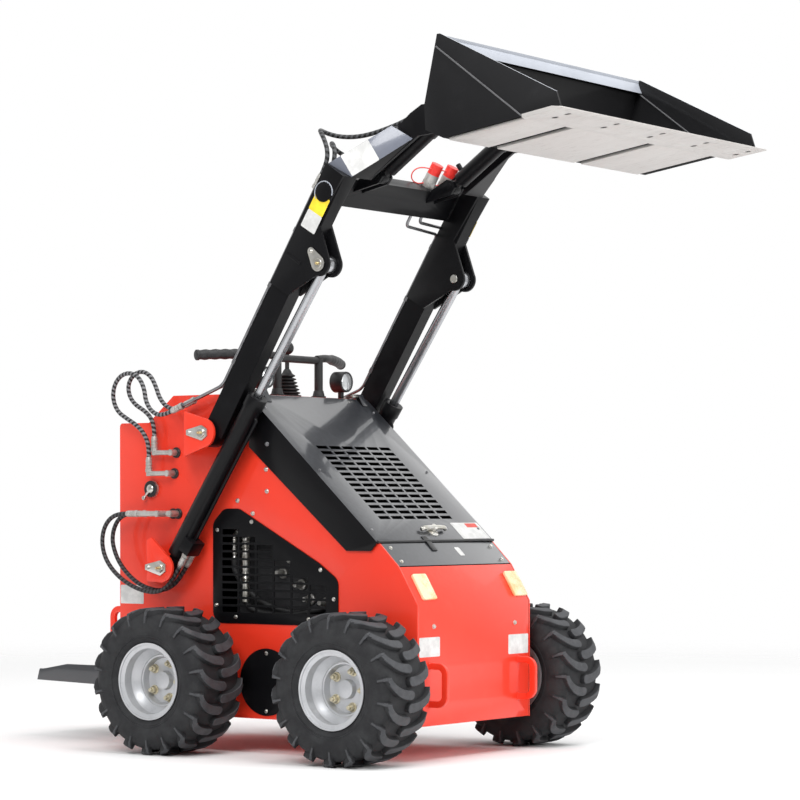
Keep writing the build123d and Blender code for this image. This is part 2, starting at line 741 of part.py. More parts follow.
lift_turn = angle_of(lift_base, lift_pin)
lift_barrel, lift_rod = cylinder_pair(lift_base, lift_pin, arm_y, lift_barrel_radius, lift_rod_radius,
                                      lift_neck,
                                      lift_barrel_length, lift_rod_tail, lift_eye_width, lift_eye_radius,
                                      pin_radius)
# port block on the front of the barrel, with the two hose ends that point back along it
port_low, port_high = 85, 132
port_y = (arm_y - 10, arm_y + 22)
port_offset = lift_barrel_radius + 16
port_corners = [along(lift_base, lift_turn, distance, -offset) for distance, offset in
                ((port_low, 20), (port_high, 20), (port_high, port_offset + 14),
                 (port_low, port_offset + 14))]
crimp_length = 46
lift_hose_end = along(lift_base, lift_turn, port_low - crimp_length, -port_offset)
port_block = plate(port_corners, arm_y - 24, arm_y + 34)
for y in port_y:
    port_block += rod_in_plane(along(lift_base, lift_turn, port_low + 1, -port_offset), lift_hose_end, y,
                               crimp_radius)
parts["lift_barrels"] = [lift_barrel, mirrored(lift_barrel + port_block)]
parts["lift_rods"] = both_sides(lift_rod)

tilt_turn = angle_of(tilt_base, tilt_pin)
tilt_barrel, tilt_rod = cylinder_pair(tilt_base, tilt_pin, tilt_y, tilt_barrel_radius, tilt_rod_radius,
                                      tilt_neck,
                                      tilt_barrel_length, tilt_rod_tail, tilt_eye_width, tilt_eye_radius,
                                      tilt_pin_radius)
fitting_radius = 8
tilt_crimp_length = 44
# columns: distance of each port from the base pin, its height over the barrel's middle, angle of its hose end
tilt_ports = ((56, 48, 8), (240, 74, 22))
tilt_hose_ends = []
for distance, height, crimp_angle in tilt_ports:
    tilt_barrel += rod_in_plane(along(tilt_base, tilt_turn, distance, tilt_barrel_radius - 5),
                                along(tilt_base, tilt_turn, distance, height), tilt_y, fitting_radius)
    turn_point = along(tilt_base, tilt_turn, distance, height - fitting_radius)
    tilt_hose_ends.append(along(turn_point, crimp_angle, -tilt_crimp_length))
right_tilt_barrel = tilt_barrel
for (distance, height, crimp_angle), end in zip(tilt_ports, tilt_hose_ends):
    turn_point = along(tilt_base, tilt_turn, distance, height - fitting_radius)
    right_tilt_barrel += rod_in_plane(turn_point, end, tilt_y, crimp_radius)
parts["tilt_barrels"] = [tilt_barrel, mirrored(right_tilt_barrel)]
parts["tilt_rods"] = both_sides(tilt_rod)


# ---- bucket -------------------------------------------------------------------------------

flange_depth, flange_drop = 16, 42  # the fold along the top of the bucket's back
bucket_outline = [bucket_rear_top, bucket_rear_bend, bucket_rear_low, bucket_heel, bucket_front_low,
                  bucket_front_high, (bucket_rear_top[0] + 11, bucket_rear_top[1])]
back_line = [bucket_rear_low, bucket_rear_bend, bucket_rear_top]
floor_angle = angle_of(bucket_heel, bucket_front_low)
floor_length = distance_of(bucket_heel, bucket_front_low)


def bucket_shell():
    side = plate(bucket_outline, bucket_half_width - bucket_side_sheet, bucket_half_width)
    width = bucket_half_width - bucket_side_sheet + 1
    back = bent_sheet([bucket_heel, *back_line], bucket_shell_sheet, width)
    floor_end = along(bucket_heel, floor_angle, floor_length - 31)
    floor = bent_sheet([floor_end, bucket_heel], bucket_shell_sheet, width)
    x, z = bucket_rear_top
    flange = bent_sheet([(x - 2, z - 8), (x, z), (x + flange_depth, z - flange_drop)], bucket_shell_sheet,
                        width)
    return back + floor + flange + both_sides(side)


parts["bucket_shell"] = bucket_shell()

edge_depth = 112              # of the blade, back from the floor's end
edge_start = along(bucket_heel, floor_angle, floor_length - edge_depth)
edge_hole_radius = 10
edge_hole_count = 5
edge_hole_start, edge_hole_pitch = -492, 257
edge_hole_rows = (337, 380)   # along the floor, from the heel
edge_corners = [edge_start, along(edge_start, floor_angle, 0, -edge_sheet), lip, (lip[0], lip[1] + 4),
                along(bucket_heel, floor_angle, floor_length - 12)]
edge_blade = plate(edge_corners, -edge_half_width, edge_half_width)
edge_holes = []
for i in range(edge_hole_count):
    for distance in edge_hole_rows:
        hole_mid = along(bucket_heel, floor_angle, distance)
        edge_holes.append(rod_in_plane(along(hole_mid, floor_angle, 0, -20),
                                       along(hole_mid, floor_angle, 0, 20),
                                       edge_hole_start + i * edge_hole_pitch, edge_hole_radius))
parts["cutting_edge"] = edge_blade - edge_holes
wear_sheet = 8
wear_start = along(bucket_heel, floor_angle, 12)
wear_end = along(edge_start, floor_angle, -4)
wear_corners = [wear_start, along(wear_start, floor_angle, 0, -wear_sheet),
                along(wear_end, floor_angle, 0, -wear_sheet), wear_end]
# columns: lowest and highest y of each wear plate
wear_spans = ((-545, -345), (-301, 112), (156, 486))
parts["wear_plates"] = [plate(wear_corners, y_low, y_high) for y_low, y_high in wear_spans]

attach_sheet = 8
attach_half_width = 300
ear_rise, low_ear_rise = 150, 60  # how far up the plate an ear is welded


def quick_attach():
    """The plate that carries the bucket, with ears for the boom's and the tilt cylinders' pins."""
    low = along(bucket_rear_low, angle_of(bucket_rear_low, bucket_rear_bend), 10)
    rear_angle = angle_of(bucket_rear_bend, bucket_rear_top)
    high = along(bucket_rear_top, rear_angle, -26)
    line = [low, bucket_rear_bend, high]
    shape = bent_sheet(line, -attach_sheet, attach_half_width)
    weld_line = offset_line(line, attach_sheet / 2)
    x, z = bucket_pivot
    tx, tz = tilt_pin
    upper = along(weld_line[1], rear_angle, ear_rise)
    ear = [(x - 32, z - 24), (x, z - 36), weld_line[0], weld_line[1], upper, (tx + 6, tz + 26),
           (tx - 22, tz + 14),
           (tx - 24, tz - 8), (x - 30, z + 26)]
    low_ear = [(x - 32, z - 24), (x, z - 36), weld_line[0], weld_line[1],
               along(weld_line[1], rear_angle, low_ear_rise),
               (x, z + 40), (x - 30, z + 26)]
    inside = nose_y - nose_boss_half - part_gap
    outside = nose_y + nose_boss_half + part_gap
    tilt_inside = tilt_y - tilt_eye_width / 2 - stub_length - part_gap
    for side in (1, -1):
        # columns: outline, lowest y and highest y of an ear on the left side
        for outline, y_low, y_high in ((ear, inside - ear_sheet, inside),
                                       (low_ear, outside, outside + ear_sheet),
                                       (ear, tilt_inside - ear_sheet, tilt_inside)):
            shape += plate(outline, *sorted((side * y_low, side * y_high)))
        shape += rod_y(bucket_pivot, pin_radius,
                       *sorted((side * (inside - 2), side * (outside + ear_sheet + 6))))
        # the tilt pin shows as a short stub on each ear beside the rod's eye
        for y_low, y_high in ((inside - ear_sheet - stub_length, inside + 1),
                              (tilt_inside - ear_sheet - 4, tilt_inside + stub_length)):
            shape += rod_y(tilt_pin, tilt_pin_radius, *sorted((side * y_low, side * y_high)))
    return shape


parts["quick_attach"] = quick_attach()


# ---- operator platform ----------------------------------------------------------------------

# corners of a side flange, from the hinge
platform_length = hinge_x - platform_rear_x
flange_corners = ((-platform_length, -13), (10 - platform_length, 21), (135 - platform_length, 43),
                  (-55, 43),
                  (10, 12), (10, -12), (-125, -19))


def platform():
    top = hinge_z + deck_rise
    deck = block(platform_rear_x + 6, hinge_x - 24, -platform_half_width, platform_half_width,
                 top - deck_sheet, top)
    flange = plate([(hinge_x + x, hinge_z + z) for x, z in flange_corners],
                   platform_half_width, platform_half_width + platform_sheet)
    lug_y = hinge_lug_y + hinge_lug_width + 2
    lug = plate([(hinge_x + 14, hinge_z - 12), (hinge_x + 14, hinge_z + 12), (hinge_x - 40, top - 4),
                 (hinge_x - 40, hinge_z - 6)], lug_y, lug_y + 12)
    axle = rod_y(platform_hinge, hinge_radius, -platform_half_width - platform_sheet - 4,
                 platform_half_width + platform_sheet + 4)
    return deck + both_sides(flange) + both_sides(lug) + axle


parts["platform"] = platform()


# ---- controls and lamps ---------------------------------------------------------------------

bar_z = console_z + bar_rise


def handlebar():
    """Two posts with a crossbar, and grips swept out and back."""
    bend_x, bend_y = grip_bend
    end_x, end_y = grip_end
    post = rod_between((bar_x, post_y, console_z), (bar_x, post_y, bar_z + 4), post_radius)
    cross = rod_y((bar_x, bar_z - 4), cross_bar_radius, -post_y, post_y)
    grip = rod_between((bar_x, post_y - 8, bar_z), (bend_x, bend_y, bar_z + 4), grip_start_radius)
    grip += rod_between((bend_x, bend_y, bar_z + 4), (end_x, end_y, bar_z - 2), grip_radius)
    grip += Pos(bend_x, bend_y, bar_z + 4) * Sphere(grip_radius)
    return post + mirrored(post) + cross + grip + mirrored(grip)


parts["handlebar"] = handlebar()


def joystick():
    boot = Pos(stick_x, 0, console_z) * Cone(boot_foot_radius, boot_top_radius, boot_height,
                                             align=(Align.CENTER, Align.CENTER, Align.MIN))
    top = console_z + lever_height
    lever = rod_between((stick_x, 0, console_z + boot_height - 10), (stick_x, 0, top), lever_radius)
    return boot + lever + Pos(stick_x, 0, top + 8) * Sphere(knob_radius)


parts["joystick"] = joystick()

lamp_z = console_z + lamp_rise
lamp_foot_x = (lamp_rear_x + lamp_front_x - lamp_foot_length) / 2
lamp = rod_between((lamp_rear_x, lamp_y, lamp_z), (lamp_front_x, lamp_y, lamp_z), lamp_radius)
lamp += block(lamp_foot_x, lamp_foot_x + lamp_foot_length, lamp_y - lamp_foot_width / 2,
              lamp_y + lamp_foot_width / 2,
              console_z, lamp_z - lamp_radius + 10)
parts["work_lamps"] = both_sides(lamp)


# ---- hydraulic lines ------------------------------------------------------------------------

def tube_along(route, radius, corners):
    """A bent steel pipe: straight runs joined by arcs, with the radius of each corner."""
    path = FilletPolyline(*route, radius=corners)
    start = Plane(origin=path @ 0, z_dir=path % 0)
    return sweep(start * Circle(radius), path=path)


hose_nodes = []


def hose(name, route):
    """A free hose; each arc is as large as its two runs allow."""
    points = [Vector(*point) for point in route]
    radii = []
    for a, b, c in zip(points, points[1:], points[2:]):
        half_turn = math.radians((b - a).get_angle(c - b) / 2)
        radii.append(0.45 * min((b - a).length, (c - b).length) / math.tan(half_turn))
    path = FilletPolyline(*route, radius=radii)
    start = Plane(origin=path @ 0, z_dir=path % 0)
    tube = sweep(start * Circle(hose_radius), path=path)
    share = tube.volume / (math.pi * hose_radius ** 2 * path.length)
    print(name, "length", round(path.length), "least radius", round(min(radii)), "volume share",
          round(share, 4))
    parts[name] = tube
    hose_nodes.append(name)


# pipes up the rear of each arm, from a hose end behind the pivot to one below the elbow
pipe_face = arm_half_depth + pipe_radius + 5
pipe_line = along(arm_root, arm_angle, 0, pipe_face)
mouth_angle = 20
pipe_clamps = (60, 330, 520)  # distances along the arm
crimp_head_distance = 706     # where the upper hose end of a right pipe ends
pipe_top = 660                # where a pipe of the right arm meets its upper hose end
crimp_head = along(pipe_line, arm_angle, crimp_head_distance)
pipe_corner, bend_corner = 60, 17
tube_foot = distance_of(arm_root, meet(arm_root, arm_angle, along(cross_centre, arm_angle,
                                                                  -cross_height / 2),
                                       arm_angle + 90))
# columns: y of the pipe on the left arm, x and z of its hose end's mouth, and, for the left arm's pipe, how
# far up the arm it bends inwards, how far up it bends on, and the y at which it enters the cross tube
pipe_rows = ((arm_y - 17, -400, 1088, 565, 580, 155), (arm_y + 17, -421, 1070, 588, 598, 213))
pipes = []
for y, x, z, bend_in, bend_up, tube_y in pipe_rows:
    mouth_end = along((x, z), mouth_angle, crimp_length)
    corner = meet((x, z), mouth_angle, pipe_line, arm_angle)
    lower_run = [mouth_end, corner]
    for side in (1, -1):
        run = [(px, side * y, pz) for px, pz in lower_run]
        if side > 0:
            for distance, turn_y in ((bend_in, y), (bend_up, tube_y), (tube_foot, tube_y)):
                turn = along(pipe_line, arm_angle, distance)
                run.append((turn[0], turn_y, turn[1]))
            radii = [pipe_corner, bend_corner, bend_corner]
        else:
            end = along(pipe_line, arm_angle, pipe_top)
            run.append((end[0], -y, end[1]))
            radii = [pipe_corner]
        pipe = tube_along(run, pipe_radius, radii)
        pipe += rod_in_plane((x, z), along(mouth_end, mouth_angle, 1), side * y, crimp_radius)
        for distance in pipe_clamps:
            clamp = [along(arm_root, arm_angle, distance + shift, offset) for shift, offset in
                     ((-8, arm_half_depth), (8, arm_half_depth), (8, pipe_face + 3), (-8, pipe_face + 3))]
            pipe += plate(clamp, side * y - 7, side * y + 7)
        if side < 0:
            pipe += rod_in_plane(along(pipe_line, arm_angle, pipe_top - 1), crimp_head, side * y,
                                 crimp_radius)
        pipes.append(pipe)
parts["boom_pipes"] = pipes

# ports and hose ends on the right side plate
wall = -body_half_width
nipple_radius = 10
# columns: x, reach out of the side plate and z of the fitting's body, x and z of its hose end
upper_ports = ((-470, 35, 874, -548, 924), (-462, 27, 940, -532, 990))
lower_ports = ((-475, 80, 746, -600, 746), (-455, 40, 746, -600, 746))
fittings = []
for x, reach, z, end_x, end_z in upper_ports:
    y = wall - reach
    nipple = rod_between((x, wall, z), (x, y - 6, z), nipple_radius)
    body = rod_between((x + 8, y, z), (end_x, y, z), fitting_radius)
    crimp = rod_between((end_x, y, z - fitting_radius), (end_x, y, end_z), crimp_radius)
    fittings.append(nipple + body + crimp)
for x, reach, z, end_x, end_z in lower_ports:
    y = wall - reach
    nipple = rod_between((x, wall, z), (x, y - 6, z), nipple_radius)
    fittings.append(nipple + rod_between((x + 8, y, z), (end_x, y, end_z), crimp_radius))
gauge_x, gauge_z = -562, 825
gauge_radius, gauge_reach = 26, 10
fittings.append(rod_between((gauge_x, wall, gauge_z), (gauge_x, wall - gauge_reach, gauge_z), gauge_radius))
parts["side_fittings"] = fittings


def runs_out(mouth, angle, distance, y):
    """A hose end's mouth, and the point a distance straight out of it."""
    out = along(mouth, angle, distance)
    return [(mouth[0], y, mouth[1]), (out[0], y, out[1])]


(inner_pipe_y, *inner_mouth), (outer_pipe_y, *outer_mouth) = (row[:3] for row in pipe_rows)
hose("upper_hose_outer", [
    (-548, -340, 924), (-548, -340, 962), (-564, -343, 1001), (-596, -346, 1030), (-634, -348, 1050),
    (-671, -351, 1073), (-689, -354, 1113), (-681, -357, 1157), (-651, -360, 1188), (-608, -363, 1197),
    (-567, -366, 1181), (-542, -369, 1144), (-533, -372, 1101), (-505, -374, 1067),
    *runs_out(outer_mouth, mouth_angle, -45, -outer_pipe_y)[::-1]])
hose("upper_hose_inner", [
    (-532, -332, 990), (-532, -332, 1020), (-546, -333, 1054), (-576, -333, 1077), (-610, -334, 1094),
    (-635, -335, 1122), (-640, -336, 1160), (-617, -336, 1191), (-579, -337, 1202), (-542, -338, 1186),
    (-520, -338, 1151), (-504, -339, 1113), (-474, -340, 1084),
    *runs_out(inner_mouth, mouth_angle, -39, -inner_pipe_y)[::-1]])
hose("lower_hose_outer", [
    (-600, -385, 746), (-640, -385, 746), (-678, -386, 728), (-702, -386, 694), (-708, -386, 650),
    (-696, -386, 608), (-670, -385, 572), (-634, -384, 542), (-590, -382, 518), (-542, -381, 502),
    (-492, -380, 496), (-446, -379, 508), *runs_out(lift_hose_end, lift_turn, -40, -port_y[1])[::-1]])
hose("lower_hose_inner", [
    (-600, -345, 746), (-636, -345, 746), (-670, -345, 732), (-692, -345, 702), (-700, -346, 664),
    (-690, -346, 626), (-668, -347, 588), (-634, -348, 554), (-594, -348, 526), (-546, -348, 508),
    (-496, -348, 500), (-446, -348, 514), *runs_out(lift_hose_end, lift_turn, -40, -port_y[0])[::-1]])
hose("tilt_hose_long", [
    *runs_out(crimp_head, arm_angle, 38, -outer_pipe_y), (194, -372, 1840), (178, -368, 1876), (152, -352,
                                                                                                1902),
    (126, -322, 1914), (118, -284, 1910), (134, -250, 1902), (168, -230, 1898), (208, -216, 1900),
    (250, -206, 1908), (294, -197, 1920), *runs_out(tilt_hose_ends[1], tilt_ports[1][2], -38,
                                                    -tilt_y)[::-1]])
hose("tilt_hose_short", [
    *runs_out(crimp_head, arm_angle, 38, -inner_pipe_y), (194, -336, 1838), (176, -320, 1866), (148, -294,
                                                                                                1876),
    (128, -262, 1870), (128, -228, 1854), (152, -204, 1838), (184, -194, 1828),
    *runs_out(tilt_hose_ends[0], tilt_ports[0][2], -28, -tilt_y)[::-1]])


# ---- export -------------------------------------------------------------------------------

def main():
    os.makedirs("parts", exist_ok=True)
    shift = Pos(origin_shift(), 0, 0)
    for name, shape in parts.items():
        if isinstance(shape, list):
            shape = Compound([solid for piece in shape for solid in piece.solids()])
        export_step(shift * shape, "parts/" + name + ".step")
        print(name, len(shape.solids()), "solids")


if __name__ == "__main__":
    main()
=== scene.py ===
# %% [markdown]
# # A stand-on skid steer loader, dressed for a studio view
# The solids of the machine come in as a fixed frame: every panel, arm and cylinder already has its
# size and place. This lesson gives them their finishes, and adds what is too fine for the solids:
# tread, bolts, welds, labels, and hoses that hang in one smooth curve.

# %% Load the frame
import math

import bmesh
import bpy
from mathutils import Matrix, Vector


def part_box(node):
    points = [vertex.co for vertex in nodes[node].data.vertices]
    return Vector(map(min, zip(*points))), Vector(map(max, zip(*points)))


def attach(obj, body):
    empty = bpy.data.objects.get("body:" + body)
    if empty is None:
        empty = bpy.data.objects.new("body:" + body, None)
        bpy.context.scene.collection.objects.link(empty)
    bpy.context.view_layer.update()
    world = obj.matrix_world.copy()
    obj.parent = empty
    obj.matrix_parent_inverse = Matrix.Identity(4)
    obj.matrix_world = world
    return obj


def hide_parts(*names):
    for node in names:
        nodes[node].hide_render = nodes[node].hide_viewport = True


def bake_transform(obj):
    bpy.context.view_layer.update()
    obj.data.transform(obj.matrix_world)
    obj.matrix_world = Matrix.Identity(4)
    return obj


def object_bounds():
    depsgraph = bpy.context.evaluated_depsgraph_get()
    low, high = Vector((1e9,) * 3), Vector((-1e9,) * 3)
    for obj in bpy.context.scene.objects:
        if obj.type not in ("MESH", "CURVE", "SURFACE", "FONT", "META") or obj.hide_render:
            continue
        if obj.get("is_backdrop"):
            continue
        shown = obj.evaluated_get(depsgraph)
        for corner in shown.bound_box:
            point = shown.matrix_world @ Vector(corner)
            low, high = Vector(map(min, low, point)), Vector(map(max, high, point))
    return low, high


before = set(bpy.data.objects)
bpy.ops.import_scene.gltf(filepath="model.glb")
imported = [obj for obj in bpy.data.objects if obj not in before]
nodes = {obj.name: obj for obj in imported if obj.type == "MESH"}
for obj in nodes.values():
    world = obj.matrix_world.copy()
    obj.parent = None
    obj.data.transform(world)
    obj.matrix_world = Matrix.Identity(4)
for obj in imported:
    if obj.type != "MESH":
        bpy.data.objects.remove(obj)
cad_low, cad_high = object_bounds()
print("solid model from", tuple(round(v, 3) for v in cad_low), "to", tuple(round(v, 3) for v in cad_high))

# %% [markdown]
# ## Where things are
# Sizes on drawings of such a machine are measured in millimetres from the point midway between the
# axles, on the ground. The frame is in metres and has its origin elsewhere. We could type metres, but
# then every number would carry that offset, so one helper turns a drawing's measure into a point.

# %% A point from its drawing sizes
WHEELS = ("front_right", "front_left", "rear_right", "rear_left")
SIDES = (1, -1)               # the sign of y on the machine's left and on its right
wheel_boxes = {wheel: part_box("tyre_" + wheel) for wheel in WHEELS}
axle_mid_x = sum((low.x + high.x) / 2 for low, high in wheel_boxes.values()) / len(WHEELS)
MM = 0.001


def spot(x, y, z):
    """The point of the frame at these drawing millimetres."""
    return Vector((axle_mid_x + x * MM, y * MM, z * MM))


def in_drawing(point):
    """A point of the frame back in drawing millimetres."""
    return Vector(((point.x - axle_mid_x) / MM, point.y / MM, point.z / MM))


print("middle of the axles at x", round(axle_mid_x, 4))

# %% [markdown]
# ## Shader maths as plain sums
# A finish is a small calculation: noise, times an amount, plus a base value. It could be wired node by
# node, but then the sum hides among sockets and links. Wrapping each socket in a class with operators
# lets us write it as a sum in Python, and every operator adds its own Math node.

# %% Sockets that can be added and multiplied
class Wire:
    """A number, a colour or a direction that varies over a surface."""

    def __init__(self, network, socket):
        self.network, self.socket = network, socket

    def math(self, operation, *values):
        return self.network.node("ShaderNodeMath", {"operation": operation}, dict(enumerate(values)))

    def __add__(self, other):
        return self.math("ADD", self, other)

    def __radd__(self, other):
        return self.math("ADD", other, self)

    def __sub__(self, other):
        return self.math("SUBTRACT", self, other)

    def __rsub__(self, other):
        return self.math("SUBTRACT", other, self)

    def __mul__(self, other):
        return self.math("MULTIPLY", self, other)

    def __rmul__(self, other):
        return self.math("MULTIPLY", other, self)

    def above(self, edge, soft):
        """0 below edge and 1 above it, with a soft step between."""
        steps = {"interpolation_type": "SMOOTHSTEP"}
        inputs = {"Value": self, "From Min": edge - soft, "From Max": edge + soft}
        return self.network.node("ShaderNodeMapRange", steps, inputs)


# %% One method for every kind of node
class Network:
    """A node tree."""

    def __init__(self, tree):
        self.tree = tree

    def plug(self, socket, value):
        """Links a wire to a socket, or sets what the socket holds; a colour is three numbers."""
        if isinstance(value, Wire):
            self.tree.links.new(value.socket, socket)
        elif socket.type == "RGBA":
            socket.default_value = (*value, 1)
        else:
            socket.default_value = value

    def node(self, kind, settings=None, inputs=None, output=0):
        """Adds a node, makes its settings, fills its sockets and gives one of its outputs."""
        made = self.tree.nodes.new(kind)
        for key, value in (settings or {}).items():
            setattr(made, key, value)
        for key, value in (inputs or {}).items():
            self.plug(made.inputs[key], value)
        return Wire(self, made.outputs[output])


# %% [markdown]
# ## What a finish needs
# Every finish here is one Principled shader and a few patterns that feed it. Noise is read in the
# piece's own space, in metres, so a pattern has the same size on a bolt and on the bucket and needs
# no map. A Mix node blends colours, because a Math node would turn them grey.

# %% A material and its patterns
MIX_SHARE, MIX_LOW, MIX_HIGH, MIX_RESULT = 0, 6, 7, 2     # a Mix node's sockets when it blends colours


class Finish(Network):
    """One material with a Principled shader."""

    def __init__(self, name):
        self.material = bpy.data.materials.new(name)
        self.material.use_nodes = True
        super().__init__(self.material.node_tree)
        self.tree.nodes.clear()
        self.shader = self.tree.nodes.new("ShaderNodeBsdfPrincipled")
        output = self.tree.nodes.new("ShaderNodeOutputMaterial")
        self.tree.links.new(self.shader.outputs["BSDF"], output.inputs["Surface"])

    def place(self):
        """Where a point is on its piece, in metres."""
        return self.node("ShaderNodeTexCoord", output="Object")

    def noise(self, scale, detail=3, rough=0.5, vector=None):
        inputs = {"Vector": vector or self.place(), "Scale": scale, "Detail": detail, "Roughness": rough}
        return self.node("ShaderNodeTexNoise", None, inputs, "Fac")

    def mix(self, low, high, share):
        """A colour between low and high."""
        inputs = {MIX_SHARE: share, MIX_LOW: low, MIX_HIGH: high}
        return self.node("ShaderNodeMix", {"data_type": "RGBA"}, inputs, MIX_RESULT)

    def bump(self, height, distance):
        return self.node("ShaderNodeBump", None, {"Height": height, "Distance": distance, "Strength": 1.0})

    def facing_up(self):
        """1 on a surface that faces the sky."""
        normal = self.node("ShaderNodeNewGeometry", output="Normal")
        return self.node("ShaderNodeSeparateXYZ", None, {0: normal}, "Z")

    def set(self, **sockets):
        """Fills the shader's sockets; a name has _ where the socket's has a space."""
        for name, value in sockets.items():
            self.plug(self.shader.inputs[name.replace("_", " ")], value)
        return self.material


# %% [markdown]
# ## Paint
# Sprayed enamel is never one flat colour. It has a faint skin like orange peel, broad clouds where
# the coat is thinner, and pale dust on what faces up. A painted image could show all that, but it
# needs a map on every panel. Noise needs none, so one function makes each enamel of the machine. The
# clear coat gives the sharp reflection, and the base under it the soft one.

# %% Paint finishes
def enamel(name, colour, thin_colour, roughness, dust_colour, dust, gloss, coat):
    """Enamel; dust and coat go from 0 to 1, and gloss is how strongly the base mirrors."""
    finish = Finish(name)
    clouds = finish.noise(2.2, 4, 0.55)
    base = finish.mix(colour, thin_colour, clouds.above(0.5, 0.22))
    specks = finish.noise(55, 5, 0.65)
    settled = finish.facing_up().above(0.45, 0.4) * specks.above(0.5, 0.2) * dust
    rubbed = finish.noise(14, 6, 0.6).above(0.62, 0.1) * (0.3 * dust)
    skin = finish.bump(finish.noise(420, 2, 0.4), 0.00006)
    return finish.set(
        Base_Color=finish.mix(base, dust_colour, settled + rubbed),
        Roughness=roughness + clouds * 0.08 + settled * 0.4,
        Specular_IOR_Level=gloss,
        Coat_Weight=coat - settled * (0.6 * coat),
        Coat_Roughness=0.08,
        Normal=skin,
    )


body_red = enamel("vermilion_enamel", (0.86, 0.036, 0.012), (0.90, 0.046, 0.018),
                  0.42, (0.62, 0.34, 0.26), 0.06, 0.35, 0.5)
gloss_black = enamel("gloss_black_enamel", (0.0034, 0.0034, 0.0042), (0.005, 0.005, 0.006),
                     0.34, (0.08, 0.08, 0.09), 0.08, 0.14, 0.08)
# A paler, bluer black than the plain black enamel: a painted sheen of the sky on the hood, the front cover
# and the platform.
black_with_painted_sky_sheen = enamel("black_enamel_with_painted_sky_sheen", (0.020, 0.022, 0.027), (0.027, 0.029, 0.035),
                    0.36, (0.16, 0.17, 0.19), 0.12, 0.5, 0.9)
bucket_black = enamel("bucket_black_enamel", (0.006, 0.006, 0.007), (0.010, 0.010, 0.011),
                      0.45, (0.10, 0.10, 0.11), 0.12, 0.18, 0.1)
# Near-black and matte: painted shade on the faces inside the body and the hood; under the bucket and on its
# edge bolts, a plain matte black.
matte_black_and_painted_shade = enamel("matte_black_with_painted_shade", (0.004, 0.004, 0.004), (0.006, 0.006, 0.006),
                     0.7, (0.02, 0.02, 0.02), 0.2, 0.1, 0.0)
# Blue-grey for black enamel: a painted reflection of the sky on the forward faces of the arms' noses.
painted_sky_reflection = enamel("black_with_painted_sky_reflection", (0.16, 0.175, 0.22), (0.20, 0.215, 0.26),
                   0.22, (0.25, 0.26, 0.28), 0.1, 0.5, 0.6)
# A pale blue-grey on black parts: a painted highlight where they face the sky, on the bucket's upper edges
# and on the arcs welded round the arm discs.
painted_highlight_grey = enamel("painted_sky_highlight", (0.46, 0.49, 0.55), (0.30, 0.32, 0.36),
                    0.35, (0.50, 0.51, 0.53), 0.3, 0.5, 0.3)

# %% [markdown]
# The wheels are sprayed silver. A plain metal would mirror the floor like a pan, and a plain grey would
# look like plastic, so this enamel is half metallic, with flakes as a very fine bump.

# %% Wheel finish
def silver_enamel():
    finish = Finish("silver_wheel_enamel")
    clouds = finish.noise(9, 4, 0.6)
    flakes = finish.noise(900, 2, 0.5)
    grime = finish.noise(38, 6, 0.6).above(0.6, 0.12)
    return finish.set(
        Base_Color=finish.mix((0.56, 0.57, 0.59), (0.46, 0.47, 0.49), grime * 0.5 + clouds * 0.3),
        Metallic=0.55,
        Roughness=0.34 + clouds * 0.12 + grime * 0.1,
        Coat_Weight=0.4,
        Coat_Roughness=0.15,
        Normal=finish.bump(flakes, 0.00004),
    )


rim_silver = silver_enamel()

# %% [markdown]
# ## Metals
# Zinc plating is bright but patchy, and chrome on a cylinder's rod is ground to an even satin grey.
# Both are one smooth metal with patches, so one function serves them. The wear plates under the
# bucket are bare rolled steel: pale, with long clouds from the mill, made by stretching the noise.

# %% Metal finishes
def plated(name, colour, patch_colour, roughness, scale=30, metallic=1.0):
    """A plated metal; scale is how small its patches are."""
    finish = Finish(name)
    patches = finish.noise(scale, 5, 0.6)
    return finish.set(
        Base_Color=finish.mix(colour, patch_colour, patches.above(0.52, 0.15)),
        Metallic=metallic,
        Roughness=roughness + patches * 0.15,
        Normal=finish.bump(finish.noise(600, 3, 0.5), 0.00003),
    )


zinc = plated("zinc_plating", (0.68, 0.67, 0.64), (0.56, 0.54, 0.48), 0.22)
dark_zinc = plated("passivated_zinc", (0.30, 0.30, 0.31), (0.22, 0.22, 0.23), 0.32)
dull_zinc = plated("dull_zinc", (0.52, 0.51, 0.49), (0.40, 0.39, 0.36), 0.4, 30, 0.55)
nut_zinc = plated("yellow_zinc", (0.66, 0.60, 0.44), (0.52, 0.47, 0.34), 0.3, 40, 0.8)
chrome = plated("hard_chrome", (0.47, 0.48, 0.50), (0.42, 0.43, 0.45), 0.20, 4)
brass_nipple = plated("yellow_plating", (0.70, 0.56, 0.28), (0.58, 0.46, 0.24), 0.25)


def rolled_steel():
    finish = Finish("rolled_steel")
    stretch = finish.node("ShaderNodeMapping", None, {"Vector": finish.place(), "Scale": (1.0, 5.0, 1.0)})
    clouds = finish.noise(3.0, 5, 0.6, stretch)
    marks = finish.noise(26, 6, 0.7, stretch).above(0.62, 0.08)
    colour = finish.mix((0.50, 0.47, 0.45), (0.62, 0.60, 0.58), clouds)
    return finish.set(
        Base_Color=finish.mix(colour, (0.36, 0.33, 0.31), marks * 0.5),
        Metallic=0.35,
        Roughness=0.42 + marks * 0.2,
        Normal=finish.bump(clouds + marks * 0.4, 0.0002),
    )


bare_steel = rolled_steel()

# %% [markdown]
# An engine's castings are sand-rough, dark and sooty. Nobody sees more of them than a grille shows, so
# a coarse bump and two greys will do.

# %% Engine finish
def cast_metal():
    finish = Finish("engine_castings")
    grain = finish.noise(240, 4, 0.6)
    soot = finish.noise(12, 4, 0.6)
    return finish.set(
        Base_Color=finish.mix((0.022, 0.022, 0.024), (0.07, 0.07, 0.075), soot),
        Metallic=0.2,
        Roughness=0.55 + grain * 0.2,
        Normal=finish.bump(grain, 0.0004),
    )


casting = cast_metal()

